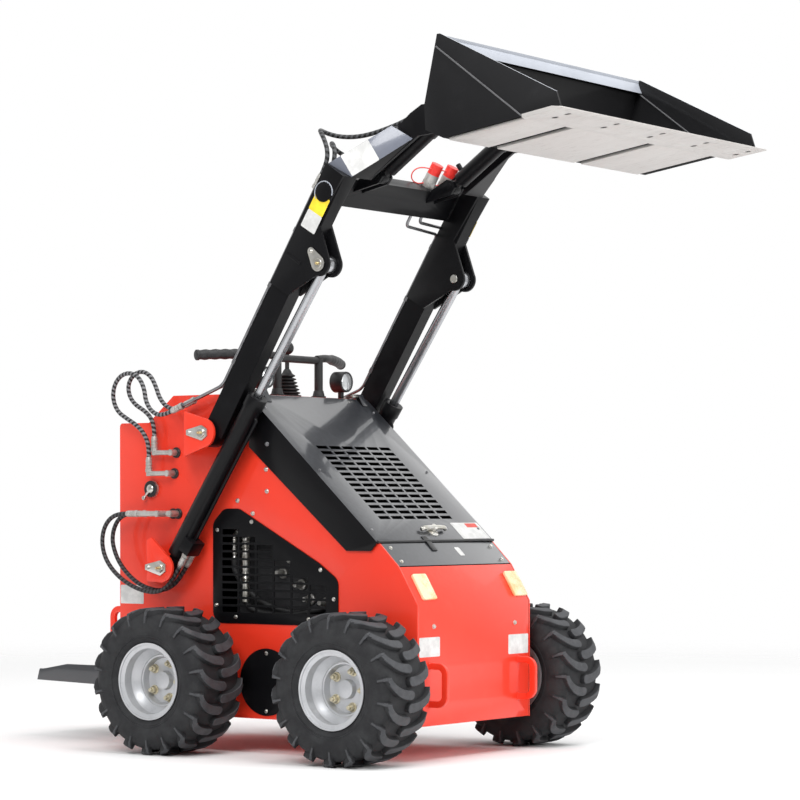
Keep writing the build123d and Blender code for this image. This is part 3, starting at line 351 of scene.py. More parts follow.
# %% [markdown]
# ## Rubber, plastic and glass
# Tyre rubber scatters light in a broad grey sheen, and the tops of the bars are worn paler than the
# rest. The lamps' glass and the amber reflectors could be made transparent, but nothing is modelled
# behind them, so a bright base under a clear coat looks the same and renders sooner.

# %% Rubber finishes
def tyre_rubber():
    finish = Finish("tyre_rubber")
    grain = finish.noise(300, 3, 0.6)
    scuffs = finish.noise(20, 6, 0.65)
    return finish.set(
        Base_Color=finish.mix((0.016, 0.016, 0.018), (0.032, 0.033, 0.035), scuffs.above(0.52, 0.2)),
        Roughness=0.62 + scuffs * 0.2,
        Specular_IOR_Level=0.3,
        Normal=finish.bump(grain + scuffs * 2, 0.00025),
    )


def worn_rubber():
    finish = Finish("worn_tread_rubber")
    scuffs = finish.noise(34, 6, 0.65)
    return finish.set(
        Base_Color=finish.mix((0.036, 0.038, 0.043), (0.064, 0.066, 0.072), scuffs.above(0.5, 0.2)),
        Roughness=0.55 + scuffs * 0.2,
        Normal=finish.bump(scuffs, 0.0003),
    )


tread_rubber = tyre_rubber()
bar_rubber = worn_rubber()


# %% Plastic finishes
def soft_plastic(name, colour, roughness, grain_size=0.0002):
    """Plastic or smooth rubber; grain_size is the height of its grain in metres."""
    finish = Finish(name)
    grain = finish.noise(500, 3, 0.6)
    marks = finish.noise(25, 5, 0.6)
    dusty = tuple(value * 1.6 + 0.01 for value in colour)
    return finish.set(
        Base_Color=finish.mix(colour, dusty, marks.above(0.55, 0.2) * 0.6),
        Roughness=roughness + marks * 0.12,
        Normal=finish.bump(grain, grain_size),
    )


grip_rubber = soft_plastic("black_grip_rubber", (0.014, 0.014, 0.015), 0.5)
black_plastic = soft_plastic("black_plastic", (0.012, 0.012, 0.013), 0.34)
red_plastic = soft_plastic("red_cap_plastic", (0.72, 0.030, 0.022), 0.3)


# %% Lens finishes
def amber_lens():
    finish = Finish("amber_reflector")
    cells = finish.node("ShaderNodeTexVoronoi", None, {"Vector": finish.place(), "Scale": 260}, "Distance")
    glare = finish.noise(22, 3, 0.5)
    return finish.set(
        Base_Color=finish.mix((0.92, 0.48, 0.16), (0.95, 0.82, 0.52), glare.above(0.45, 0.2)),
        Roughness=0.18 + cells * 0.2,
        Coat_Weight=1.0,
        Normal=finish.bump(cells, 0.0003),
    )


reflector_amber = amber_lens()


def lamp_glass():
    finish = Finish("lamp_lens")
    ribs = finish.noise(90, 2, 0.5)
    return finish.set(
        Base_Color=finish.mix((0.75, 0.78, 0.80), (0.92, 0.94, 0.95), ribs),
        Metallic=0.6,
        Roughness=0.12,
        Coat_Weight=1.0,
        Normal=finish.bump(ribs, 0.0006),
    )


lens = lamp_glass()
print("finishes made:", len(bpy.data.materials))

# %% [markdown]
# ## Smooth rounds and softened edges
# A solid comes in as flat facets. Shading its faces smoothly, except across real corners, brings the
# round surfaces back, and a fine bevel on the corners catches the light as rolled sheet does. Both
# could be cut into the meshes. As modifiers they leave the solid's own mesh as it is.

# %% A modifier that shades by angle
SMOOTH_BELOW = math.radians(32)       # faces that meet at less than this are one round surface
CORNER_ABOVE = math.radians(40)       # edges sharper than this get a bevel
MERGE_WITHIN = 0.00002                # metres


def angle_shading():
    """A node group that shades a mesh smoothly except across its sharp edges."""
    group = bpy.data.node_groups.new("shade_by_angle", "GeometryNodeTree")
    group.interface.new_socket("Geometry", in_out="INPUT", socket_type="NodeSocketGeometry")
    group.interface.new_socket("Geometry", in_out="OUTPUT", socket_type="NodeSocketGeometry")
    made = {kind: group.nodes.new(kind)
            for kind in ("NodeGroupInput", "NodeGroupOutput", "GeometryNodeInputMeshEdgeAngle")}
    sharp = group.nodes.new("FunctionNodeCompare")
    sharp.operation = "GREATER_THAN"
    sharp.inputs["B"].default_value = SMOOTH_BELOW
    edges = group.nodes.new("GeometryNodeSetShadeSmooth")
    edges.domain = "EDGE"
    edges.inputs["Shade Smooth"].default_value = False
    faces = group.nodes.new("GeometryNodeSetShadeSmooth")
    faces.domain = "FACE"
    faces.inputs["Shade Smooth"].default_value = True
    link = group.links.new
    link(made["GeometryNodeInputMeshEdgeAngle"].outputs["Unsigned Angle"], sharp.inputs["A"])
    link(made["NodeGroupInput"].outputs[0], faces.inputs["Geometry"])
    link(faces.outputs[0], edges.inputs["Geometry"])
    link(sharp.outputs[0], edges.inputs["Selection"])
    link(edges.outputs[0], made["NodeGroupOutput"].inputs[0])
    return group


shade_by_angle = angle_shading()


def soften(piece, bevel=0.0):
    """Merges a mesh's split corners, rounds its edges by bevel metres, and shades it by angle."""
    weld = piece.modifiers.new("merge", "WELD")
    weld.merge_threshold = MERGE_WITHIN
    if bevel:
        edge = piece.modifiers.new("edge", "BEVEL")
        edge.width, edge.segments = bevel, 2
        edge.limit_method, edge.angle_limit = "ANGLE", CORNER_ABOVE
        edge.use_clamp_overlap = True
    shade = piece.modifiers.new("shade", "NODES")
    shade.node_group = shade_by_angle


def dress(node, material, bevel=0.0):
    """Gives a solid its finish."""
    piece = nodes[node]
    piece.data.materials.clear()
    piece.data.materials.append(material)
    soften(piece, bevel)


# %% [markdown]
# ## The solids in their finishes
# Each solid is one part that a factory would paint or plate before it is bolted on. The table pairs it
# with its finish and with the radius of its rounded edges. A loop could guess finishes from names, but
# a table can be read and corrected at a glance.

# %% Finishes of the solids
SOLID_FINISHES = {
    # node: finish, bevel in metres
    "side_plate_left": (body_red, 0.0012), "side_plate_right": (body_red, 0.0012),
    "front_panel": (body_red, 0.0016), "rear_panel": (body_red, 0.0014), "console": (body_red, 0.0012),
    "belly_pan": (body_red, 0.001), "arm_brackets": (body_red, 0.0012),
    "vent_grilles": (gloss_black, 0.0005), "round_covers": (gloss_black, 0.0006),
    # the hood, the front cover and the platform take the black with a painted sky sheen
    "front_cover": (black_with_painted_sky_sheen, 0.0008), "hood": (black_with_painted_sky_sheen, 0.0006), "hood_latch": (gloss_black, 0.001),
    "hood_hinges": (zinc, 0.0004), "engine": (casting, 0.002), "reflectors": (reflector_amber, 0.002),
    "pivot_pins": (zinc, 0.0012), "wheel_motors": (gloss_black, 0.001),
    "boom_arm_left": (gloss_black, 0.0015), "boom_arm_right": (gloss_black, 0.0015),
    "boom_nose_left": (gloss_black, 0.0012), "boom_nose_right": (gloss_black, 0.0012),
    "cross_tube": (gloss_black, 0.0012), "couplers": (dull_zinc, 0.001), "boom_pipes": (dark_zinc, 0.0),
    "lift_barrels": (gloss_black, 0.001), "lift_rods": (chrome, 0.001),
    "tilt_barrels": (gloss_black, 0.001), "tilt_rods": (chrome, 0.001),
    "bucket_shell": (bucket_black, 0.001), "quick_attach": (bucket_black, 0.001),
    "cutting_edge": (bare_steel, 0.0008), "wear_plates": (bare_steel, 0.0008),
    "platform": (black_with_painted_sky_sheen, 0.001), "handlebar": (grip_rubber, 0.001), "joystick": (grip_rubber, 0.001),
    "work_lamps": (black_plastic, 0.002), "side_fittings": (dull_zinc, 0.0005),
}
for node, (material, bevel) in SOLID_FINISHES.items():
    dress(node, material, bevel)
for wheel in WHEELS:
    dress("tyre_" + wheel, tread_rubber)
    dress("rim_" + wheel, rim_silver, 0.0006)
print("solids dressed:", len(SOLID_FINISHES) + 2 * len(WHEELS))

# %% [markdown]
# ## A second finish on part of a solid
# The red sheets are near-black on their inner side, as is the hood: painted shade for the dark inside
# of the body. The caps of the couplers are red plastic. The bucket's upper edges carry a painted
# sky highlight, and the noses a painted sky reflection. The sheets could be cut in two, but then they
# would no longer be one part. A second material slot takes the faces that a test picks out, by their
# place and the way they face.

# %% Faces in another finish
def paint_faces(node, material, picked):
    """Gives material to the faces for which picked(place in drawing millimetres, normal) is true."""
    mesh = nodes[node].data
    mesh.materials.append(material)
    count = 0
    for face in mesh.polygons:
        if picked(in_drawing(face.center), face.normal):
            face.material_index, count = len(mesh.materials) - 1, count + 1
    print(node, "faces in", material.name, count)


# %% Painted shade inside the sheets
# the faces inside the body and the hood are near-black, painted shade for the dark inside
for side in ("side_plate_left", "side_plate_right"):
    paint_faces(side, matte_black_and_painted_shade, lambda place, facing: facing.y * place.y < -0.5)
paint_faces("rear_panel", matte_black_and_painted_shade, lambda place, facing: facing.x > 0.5 and place.x > -698)
paint_faces("console", matte_black_and_painted_shade, lambda place, facing: facing.z < -0.3 or facing.x > 0.5)
paint_faces("belly_pan", matte_black_and_painted_shade, lambda place, facing: facing.z > 0.5)
paint_faces("front_panel", matte_black_and_painted_shade, lambda place, facing: facing.x < -0.4 and place.x < 478)
paint_faces("hood", matte_black_and_painted_shade, lambda place, facing: facing.z < -0.4 or facing.y * place.y < -0.9)
# the hood's side flaps keep the plain black enamel, without the painted sky sheen of its top
paint_faces("hood", gloss_black, lambda place, facing: facing.y * place.y > 0.9 and abs(place.y) > 300)

# %% Painted sky reflection on the noses and the bucket's edges, and red caps
ARM_ANGLE = math.radians(58.3)        # how steeply the raised arms stand
CROSS_TUBE = (146, 1743)              # x and z of its middle
CAP_START = 44 + 46                   # from the cross tube's middle up to the caps
for side in ("boom_nose_left", "boom_nose_right"):
    # the forward-facing outer plates of the noses take the painted sky reflection
    paint_faces(side, painted_sky_reflection, lambda place, facing: facing.x > 0.3 and abs(facing.y) > 0.6)
paint_faces("couplers", red_plastic, lambda place, facing: (
    (place.x - CROSS_TUBE[0]) * math.cos(ARM_ANGLE)
    + (place.z - CROSS_TUBE[1]) * math.sin(ARM_ANGLE) > CAP_START))
paint_faces("bucket_shell", matte_black_and_painted_shade, lambda place, facing: facing.z < -0.5)
# the bucket's top flange and the upper edges of its sides get a painted sky highlight
paint_faces("bucket_shell", painted_highlight_grey, lambda place, facing: (
    (place.z > 2066 and facing.x > 0.5 and abs(place.y) < 548)
    or (abs(place.y) > 546 and facing.z > 0.6 and facing.x > 0.2)))

# %% [markdown]
# ## A workbench for new pieces
# Tread, nuts, hoses and labels are too fine for the solids, so each gets a mesh of its own. Blender's
# primitives could be stretched into them, but then their sizes hide in scales. A small class collects
# rings of corners and skins them. That one idea makes tubes, turned rounds and plates, because all
# of them are a section that is carried along a line.

# %% A mesh skinned over rings
FULL_TURN = 2 * math.pi


class Shape:
    """Corners and faces of one new mesh, in drawing millimetres."""

    def __init__(self):
        self.corners, self.faces, self.maps = [], [], []

    def skin(self, rings, capped=True, looped=False, spacing=None):
        """Joins rings of equal length; spacing gives each ring's distance, for a map along a tube."""
        first, count = len(self.corners), len(rings[0])
        for ring in rings:
            self.corners.extend(Vector(corner) for corner in ring)
        for row in range(len(rings) if looped else len(rings) - 1):
            near, far = first + row * count, first + (row + 1) % len(rings) * count
            for i in range(count):
                j = (i + 1) % count
                self.faces.append((near + i, near + j, far + j, far + i))
                if spacing:
                    low, high = spacing[row], spacing[row + 1]
                    turn, next_turn = i / count, (i + 1) / count
                    self.maps.append(((low, turn), (low, next_turn), (high, next_turn), (high, turn)))
                else:
                    self.maps.append(None)
        if capped and not looped:
            last = first + (len(rings) - 1) * count
            self.faces += [tuple(range(first, first + count)), tuple(range(last, last + count))]
            self.maps += [None, None]
        return self

    def turned(self, start, axis, outline, sides=24, phase=0.0):
        """A round, or a polygon, turned about axis from start; outline has (distance, radius) pairs."""
        start, axis = Vector(start), Vector(axis).normalized()
        out = axis.orthogonal().normalized()
        side = axis.cross(out)
        rings = []
        for distance, radius in outline:
            middle = start + axis * distance
            turns = [phase + FULL_TURN * i / sides for i in range(sides)]
            rings.append([middle + (out * math.cos(a) + side * math.sin(a)) * radius for a in turns])
        return self.skin(rings)

    def tube(self, line, radius, sides=12):
        """A tube along a line; radius is a number, or a function of the distance along it."""
        line = [Vector(point) for point in line]
        out = (line[1] - line[0]).orthogonal().normalized()
        rings, spacing, distance = [], [], 0.0
        for i, point in enumerate(line):
            before, after = line[max(i - 1, 0)], line[min(i + 1, len(line) - 1)]
            heading = (after - before).normalized()
            out = (out - heading * out.dot(heading)).normalized()
            side = heading.cross(out)
            distance += (point - before).length if i else 0.0
            wide = radius(distance) if callable(radius) else radius
            turns = [FULL_TURN * k / sides for k in range(sides)]
            rings.append([point + (out * math.cos(a) + side * math.sin(a)) * wide for a in turns])
            spacing.append(distance)
        return self.skin(rings, spacing=spacing)

    def plate(self, outline, rise):
        """A flat outline with a thickness, the vector rise."""
        rise = Vector(rise)
        return self.skin([outline, [Vector(corner) + rise for corner in outline]])

    def make(self, name, body, material, bevel=0.0):
        """Turns the corners and faces into a piece that rides on a body."""
        form = bmesh.new()
        made = [form.verts.new(spot(*corner)) for corner in self.corners]
        layer = form.loops.layers.uv.new("along") if any(self.maps) else None
        for face, places in zip(self.faces, self.maps):
            skin = form.faces.new([made[i] for i in face])
            if layer and places:
                for loop, (distance, turn) in zip(skin.loops, places):
                    loop[layer].uv = (distance * MM, turn)
        bmesh.ops.remove_doubles(form, verts=form.verts, dist=0.00001)
        bmesh.ops.dissolve_degenerate(form, edges=form.edges, dist=0.00001)
        bmesh.ops.recalc_face_normals(form, faces=form.faces)
        mesh = bpy.data.meshes.new(name)
        form.to_mesh(mesh)
        form.free()
        mesh.materials.append(material)
        piece = bpy.data.objects.new(name, mesh)
        bpy.context.scene.collection.objects.link(piece)
        soften(piece, bevel)
        if body:
            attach(piece, body)
        print(name, "has", len(mesh.vertices), "corners")
        return piece


# %% [markdown]
# ## Tyres
# A bar-lug tyre grips mud with curved bars. Each bar starts narrow on the shoulder, sweeps round and
# ends in a broad thumb just past the middle, between two bars of the other half. An array of one bar,
# bent round a circle, would stretch it on the shoulder. So the carcass is turned as on a lathe, and one
# bar's section is carried along a quarter of an ellipse that is drawn on the tread.

# %% Tyre and tread measures
TYRE_RADIUS = 228.5
AXLE_X, WHEEL_MIDDLE = 355.0, 474.0   # x of the front axle, and y of a left wheel's middle
BARS = 18                             # on each half of the tread
BAR_SWEEP, BAR_REACH = 60.0, 94.0     # how far a bar runs round the tread, and over it
BAR_START = 3                         # where it starts, over the tread from the middle
THUMB, TIP = 14.5, 7.5                # half its width at its two ends
THUMB_ROUND = 14                      # how far the thumb's round end bulges
# columns: distance over the section from the middle, y and radius of the carcass,
# y and radius of a bar's top
TREAD_SECTION = (
    (0, 0, 212.5, 0, 228.4), (60, 60, 212.3, 60, 228.2), (82, 80, 211.5, 85, 227.6),
    (98, 93, 206, 99, 221.5), (112, 102, 194, 106.5, 203), (128, 106.3, 178, 107.9, 181),
    (144, 107.2, 163, 107.4, 164),
)
# (y, radius) pairs of the carcass, from the bead outwards and over the shoulder
CARCASS = (
    (80, 107.3), (86, 107.8), (88, 112), (90, 121), (95, 125), (98, 131), (102, 135), (102.3, 139),
    (104.8, 140), (105.2, 143), (104.4, 144), (105.8, 150), (106.8, 156), (107.2, 163), (106.3, 178),
    (102, 194), (93, 206), (80, 211.5), (60, 212.3), (20, 212.5),
)
print("a bar every", 360 / BARS, "degrees on each half")


# %% Points on the tread
def on_tread(travel, distance, height):
    """The wheel's x, y, z at a travel round the tread and a distance over it, height 0 to 1 up a bar."""
    reach = min(abs(distance), TREAD_SECTION[-1][0])
    for low, high in zip(TREAD_SECTION, TREAD_SECTION[1:]):
        if reach <= high[0]:
            break
    share = (reach - low[0]) / (high[0] - low[0])
    y_low, r_low, y_top, r_top = (a + (b - a) * share for a, b in zip(low[1:], high[1:]))
    y = math.copysign(y_low + (y_top - y_low) * height, distance)
    radius = r_low + (r_top - r_low) * height
    turn = travel / TYRE_RADIUS
    return radius * math.sin(turn), y, radius * math.cos(turn)


def bar_top(y):
    """The radius of the bars' tops at a distance y from the wheel's middle."""
    for low, high in zip(TREAD_SECTION, TREAD_SECTION[1:]):
        if y <= high[3]:
            return low[4] + (high[4] - low[4]) * (y - low[3]) / (high[3] - low[3])
    return math.inf


# %% One bar
# (offset from the bar's middle, height), with the half width added on each side
BAR_SECTION = ((-1, -3, -0.2), (-1, 0, 0.86), (-1, 1.6, 1), (1, -1.6, 1), (1, 0, 0.86), (1, 3, -0.2))
RIDGE_HALF, RIDGE_GAP = 5.0, 7        # of the thin ridge down the wall, and how far it trails the bar


def bar_line():
    """(travel, distance, half width) down a bar, from its thumb to its tip on the shoulder."""
    rows = []
    for turn in map(math.radians, (84, 62, 40, 20)):
        rows.append((BAR_SWEEP / 2, BAR_START - THUMB_ROUND * math.sin(turn), THUMB * math.cos(turn)))
    for turn in map(math.radians, range(90, -1, -10)):
        sine = math.sin(turn)
        rows.append((BAR_SWEEP * (sine - 0.5), BAR_START + BAR_REACH * math.cos(turn),
                     TIP + (THUMB - TIP) * sine ** 1.4))
    return rows


def add_bar(shape, place, angle, side, flip):
    """One bar at an angle on the half that side gives, and the thin ridge that runs down the wall."""
    start = math.radians(angle) * TYRE_RADIUS
    rows = bar_line()
    ridge_x = rows[-1][0] + RIDGE_GAP
    ridge = [(ridge_x, distance, RIDGE_HALF) for distance in (90, 100, 112, 128, 143)]
    for line in (rows, ridge):
        rings = []
        for i, (travel, distance, half) in enumerate(line):
            before, after = line[max(i - 1, 0)], line[min(i + 1, len(line) - 1)]
            run, rise = after[0] - before[0], after[1] - before[1]
            size = math.hypot(run, rise)
            ring = []
            for edge, inset, height in BAR_SECTION:
                offset = edge * half + inset
                x, y, z = on_tread(start + travel - offset * rise / size,
                                   distance + offset * run / size, height)
                ring.append(place(x, side * flip * y, z))
            rings.append(ring)
        shape.skin(rings)


# %% A tyre
CARCASS_STEPS = 96


def make_tyre(wheel, middle, flip):
    """One wheel's tyre; flip is 1 on the machine's left and -1 on its right."""
    def on_wheel(x, y, z):
        return middle + Vector((x, y, z))

    tyre = Shape()
    section = list(CARCASS) + [(-y, radius) for y, radius in reversed(CARCASS)]
    turns = [FULL_TURN * i / CARCASS_STEPS for i in range(CARCASS_STEPS)]
    tyre.skin([[on_wheel(radius * math.sin(turn), y, radius * math.cos(turn)) for y, radius in section]
               for turn in turns], looped=True)
    for i in range(BARS):
        add_bar(tyre, on_wheel, 360 / BARS * (i + 0.25), 1, flip)
        add_bar(tyre, on_wheel, 360 / BARS * (i + 0.75), -1, flip)
    piece = tyre.make("tread_" + wheel, "wheel_" + wheel, tread_rubber)
    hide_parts("tyre_" + wheel)
    piece.data.materials.append(bar_rubber)
    axle = spot(*middle)
    for face in piece.data.polygons:
        place = (face.center - axle) / MM
        if math.hypot(place.x, place.z) > bar_top(abs(place.y)) - 2:
            face.material_index = 1


# %% [markdown]
# Five studs with yellowish nuts hold each rim, and a rubber valve stands in its dish. They are turned
# rounds, and a hexagon is a round with six sides.

# %% Nuts and a valve
STUDS, STUD_CIRCLE, STUD_FOOT = 5, 56, 8
WASHER = ((-1, 15), (2.5, 15), (3, 13))
NUT = ((2, 11.5), (14, 11.5), (16, 10))
STUD = ((15, 6.5), (24, 6.5), (25.5, 5))
VALVE = ((0, 5), (14, 5), (15, 3.6), (30, 3.6), (31, 2.5))


def make_nuts_and_valve(wheel, middle, flip):
    """What stands in the dish of one wheel's rim."""
    outward = (0, flip, 0)
    nuts = Shape()
    for i in range(STUDS):
        turn = math.radians(360 / STUDS * i + 20)
        foot = middle + Vector((STUD_CIRCLE * math.sin(turn), flip * STUD_FOOT,
                                STUD_CIRCLE * math.cos(turn)))
        nuts.turned(foot, outward, WASHER, 20)
        nuts.turned(foot, outward, NUT, 6, i)
        nuts.turned(foot, outward, STUD, 12)
    nuts.make("wheel_nuts_" + wheel, "wheel_" + wheel, nut_zinc, 0.0006)
    valve = Shape().turned(middle + Vector((60, flip * 20, 62)), (-0.15, flip, -0.15), VALVE, 12)
    valve.make("valve_" + wheel, "wheel_" + wheel, black_plastic)


# %% Four wheels
for wheel in WHEELS:
    middle = Vector((AXLE_X if wheel.startswith("front") else -AXLE_X,
                     WHEEL_MIDDLE if wheel.endswith("left") else -WHEEL_MIDDLE, TYRE_RADIUS))
    make_tyre(wheel, middle, math.copysign(1, middle.y))
    make_nuts_and_valve(wheel, middle, math.copysign(1, middle.y))

# %% [markdown]
# ## Hoses
# A hydraulic hose is stiff, so between its two ends it lies in one wide, even loop. A cloth or rope
# simulation would take minutes and might not settle twice alike. A NURBS spline with a few control
# points gives such a loop at once. We read points along it and skin a tube over them. Each hose
# crosses one joint, but its tube is laid in the rest pose and rides on neither body.

# %% Hose routes
# columns: name, spiral guard, body at its start, body at its end, points along its route
HOSES = (
    ("upper_hose_outer", "grey", "chassis", "boom", (
        (-548, -340, 924), (-548, -340, 962), (-564, -343, 1001), (-596, -346, 1030), (-634, -348, 1050),
        (-671, -351, 1073), (-689, -354, 1113), (-681, -357, 1157), (-651, -360, 1188), (-608, -363, 1197),
        (-567, -366, 1181), (-542, -369, 1144), (-533, -372, 1101), (-505, -374, 1067),
        (-463.3, -374, 1054.6), (-421, -374, 1070))),
    ("upper_hose_inner", "grey", "chassis", "boom", (
        (-532, -332, 990), (-532, -332, 1020), (-546, -333, 1054), (-576, -333, 1077), (-610, -334, 1094),
        (-635, -335, 1122), (-640, -336, 1160), (-617, -336, 1191), (-579, -337, 1202), (-542, -338, 1186),
        (-520, -338, 1151), (-504, -339, 1113), (-474, -340, 1084), (-436.6, -340, 1074.7),
        (-400, -340, 1088))),
    ("lower_hose_outer", "faint", "chassis", "lift_barrels", (
        (-600, -385, 746), (-640, -385, 746), (-678, -386, 728), (-702, -386, 694), (-708, -386, 650),
        (-696, -386, 608), (-670, -385, 572), (-634, -384, 542), (-590, -382, 518), (-542, -381, 502),
        (-492, -380, 496), (-446, -379, 508), (-407.4, -379, 548.6), (-385.1, -379, 581.8))),
    ("lower_hose_inner", "faint", "chassis", "lift_barrels", (
        (-600, -345, 746), (-636, -345, 746), (-670, -345, 732), (-692, -345, 702), (-700, -346, 664),
        (-690, -346, 626), (-668, -347, 588), (-634, -348, 554), (-594, -348, 526), (-546, -348, 508),
        (-496, -348, 500), (-446, -348, 514), (-407.4, -347, 548.6), (-385.1, -347, 581.8))),
    ("tilt_hose_long", "black", "boom", "tilt_barrels", (
        (170.7, -374, 1769.2), (190.7, -374, 1801.5), (194, -372, 1840), (178, -368, 1876),
        (152, -352, 1902),
        (126, -322, 1914), (118, -284, 1910), (134, -250, 1902), (168, -230, 1898), (208, -216, 1900),
        (250, -206, 1908), (294, -197, 1920), (346.6, -192, 1935.4), (381.9, -192, 1949.6))),
    ("tilt_hose_short", "black", "boom", "tilt_barrels", (
        (170.7, -340, 1769.2), (190.7, -340, 1801.5), (194, -336, 1838), (176, -320, 1866),
        (148, -294, 1876),
        (128, -262, 1870), (128, -228, 1854), (152, -204, 1838), (184, -194, 1828), (214.2, -192, 1830.6),
        (242.0, -192, 1834.5))),
)
HOSE_RADIUS = 7.0


# %% A smooth line through a route
def spline_points(name, points):
    """Points along the smooth curve that a route gives, in metres in the frame."""
    curve = bpy.data.curves.new(name + "_route", "CURVE")
    curve.dimensions, curve.resolution_u = "3D", 8
    spline = curve.splines.new("NURBS")
    spline.points.add(len(points) - 1)
    for control, point in zip(spline.points, points):
        control.co = (*spot(*point), 1)
    spline.order_u, spline.use_endpoint_u = 3, True
    route = bpy.data.objects.new(name + "_route", curve)
    line = bpy.data.meshes.new_from_object(route)
    found = [vertex.co.copy() for vertex in line.vertices]
    bpy.data.objects.remove(route)
    bpy.data.meshes.remove(line)
    return found


def length_of(path):
    return sum((b - a).length for a, b in zip(path, path[1:]))


# %% [markdown]
# The hoses wear a spiral guard, a plastic strip wound round them. Modelling each turn would cost many
# thousands of faces. A sine wave of the distance along the hose plus the turn round it draws the
# same spiral, because the tube's map holds those two numbers.

# %% Spiral guards
WINDING = 430                 # radians of the wave for each metre of hose
FINE_RIDGE = 0.0012           # metres


def hose_cover(name, dark, light, winding=WINDING):
    """A hose's spiral guard, with light ridges and dark gaps."""
    finish = Finish(name)
    place = finish.node("ShaderNodeUVMap", {"uv_map": "along"})
    distance = finish.node("ShaderNodeSeparateXYZ", None, {0: place}, "X") * winding
    turn = finish.node("ShaderNodeSeparateXYZ", None, {0: place}, "Y") * FULL_TURN
    spiral = distance + turn
    raised = spiral.math("SINE", spiral).above(0.0, 0.35)
    return finish.set(
        Base_Color=finish.mix(dark, light, raised),
        Roughness=0.5 + raised * 0.1,
        Normal=finish.bump(raised, FINE_RIDGE),
    )


hose_finishes = {
    "grey": hose_cover("spiral_guard_grey", (0.008, 0.008, 0.009), (0.20, 0.20, 0.21)),
    "faint": hose_cover("spiral_guard_faint", (0.006, 0.006, 0.007), (0.06, 0.06, 0.064)),
    "black": hose_cover("spiral_guard_black", (0.005, 0.005, 0.005), (0.075, 0.077, 0.082), 360),
}

# %% Six hoses
for name, guard, near_body, far_body, points in HOSES:
    path = spline_points(name, points)
    line = [in_drawing(point) for point in path]
    tube = Shape().tube(line, HOSE_RADIUS, 14).make("hydraulic_" + name, None, hose_finishes[guard])
    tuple(path[0])
    length_of(path)
    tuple(path[0])
    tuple(path[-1])
    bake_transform(tube)
    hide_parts(name)
    print(name, "length", round(length_of(path), 3), "m")

# %% [markdown]
# ## Handlebar and joystick
# The operator stands behind the console and holds a bar with two grips. The joystick comes out of a
# ribbed rubber boot that folds like a bellows, so its outline is a zigzag turned about the lever. The
# grips could be sculpted, but a tube whose radius swells and narrows along it suits fingers as well.

# %% Lines and radii of the grips
CONSOLE_Z = 1121.0
BAR_X, BAR_Z = -210.0, 1245.0
POST_Y = 108.0
STICK_X = -255.0


def finger_radius(distance):
    """A grip's radius: thin at first, then swelling in finger grooves."""
    swell = min(1.0, max(0.0, (distance - 95) / 25))
    return 12.5 + 3.4 * swell + 1.1 * swell * math.cos(distance * FULL_TURN / 34)


def arc_line(points, steps=8):
    """A smooth line through three or more points, by Catmull-Rom steps."""
    points = [Vector(point) for point in points]
    ends = [2 * points[0] - points[1], *points, 2 * points[-1] - points[-2]]
    line = []
    for p0, p1, p2, p3 in zip(ends, ends[1:], ends[2:], ends[3:]):
        for i in range(steps):
            t = i / steps
            line.append(0.5 * ((2 * p1) + (p2 - p0) * t + (2 * p0 - 5 * p1 + 4 * p2 - p3) * t ** 2
                               + (3 * p1 - p0 - 3 * p2 + p3) * t ** 3))
    return line + [points[-1]]


# %% Handlebar
POST_FOOT = ((0, 24), (5, 24), (6, 20), (22, 16), (24, 14))
GRIP_END = ((0, 17), (8, 17), (11, 13), (12, 6))
handlebar = Shape()
for side in SIDES:
    handlebar.tube([(BAR_X, side * POST_Y, z) for z in (CONSOLE_Z, 1200, 1238, 1249)], 14, 20)
    handlebar.turned((BAR_X, side * POST_Y, CONSOLE_Z), (0, 0, 1), POST_FOOT, 24)
    line = arc_line(((BAR_X, side * 98, BAR_Z), (-216, side * 150, 1250), (-240, side * 212, 1250),
                     (-280, side * 300, 1247), (-320, side * 372, 1243)), 14)
    handlebar.tube(line, finger_radius, 20)
    handlebar.turned(line[-1] + Vector((2, -side * 4, 0)), line[-1] - line[-2], GRIP_END, 20)
handlebar.tube([(BAR_X, y, BAR_Z - 4) for y in (-POST_Y, -40, 40, POST_Y)], 12, 16)
piece = handlebar.make("grips_and_bar", "chassis", grip_rubber, 0.0005)
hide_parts("handlebar")

# %% Joystick in its bellows
FOLDS, FOLD_PITCH, FOLD_TAPER, FOLD_DEPTH = 6, 11, 3.4, 9
BALL_RADIUS = 22
bellows = [(0, 46), (6, 46)]
for fold in range(FOLDS):
    start, wide = FOLD_PITCH * fold, 43 - FOLD_TAPER * fold
    bellows += [(8 + start, wide - FOLD_DEPTH), (12 + start, wide), (15 + start, wide)]
bellows += [(76, 17), (84, 13), (90, 9)]
stick = Shape().turned((STICK_X, 0, CONSOLE_Z), (0, 0, 1), bellows, 32)
stick.turned((STICK_X, 0, CONSOLE_Z + 80), (0, 0, 1), ((0, 7), (58, 7)), 16)
ball = [(BALL_RADIUS - BALL_RADIUS * math.cos(turn), max(BALL_RADIUS * math.sin(turn), 0.4))
        for turn in map(math.radians, range(0, 181, 15))]
stick.turned((STICK_X, 0, CONSOLE_Z + 136), (0, 0, 1), ball, 24)
piece = stick.make("bellows_and_stick", "chassis", grip_rubber)
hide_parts("joystick")

# %% [markdown]
# ## Lamp glass
# A work lamp is a round can with a ribbed glass in a rubber ring. The can is in the solids. The glass
# is a shallow bowl turned about the beam, and the ring is a small section carried round a circle. No
# light shines out of it, because the machine stands in daylight.

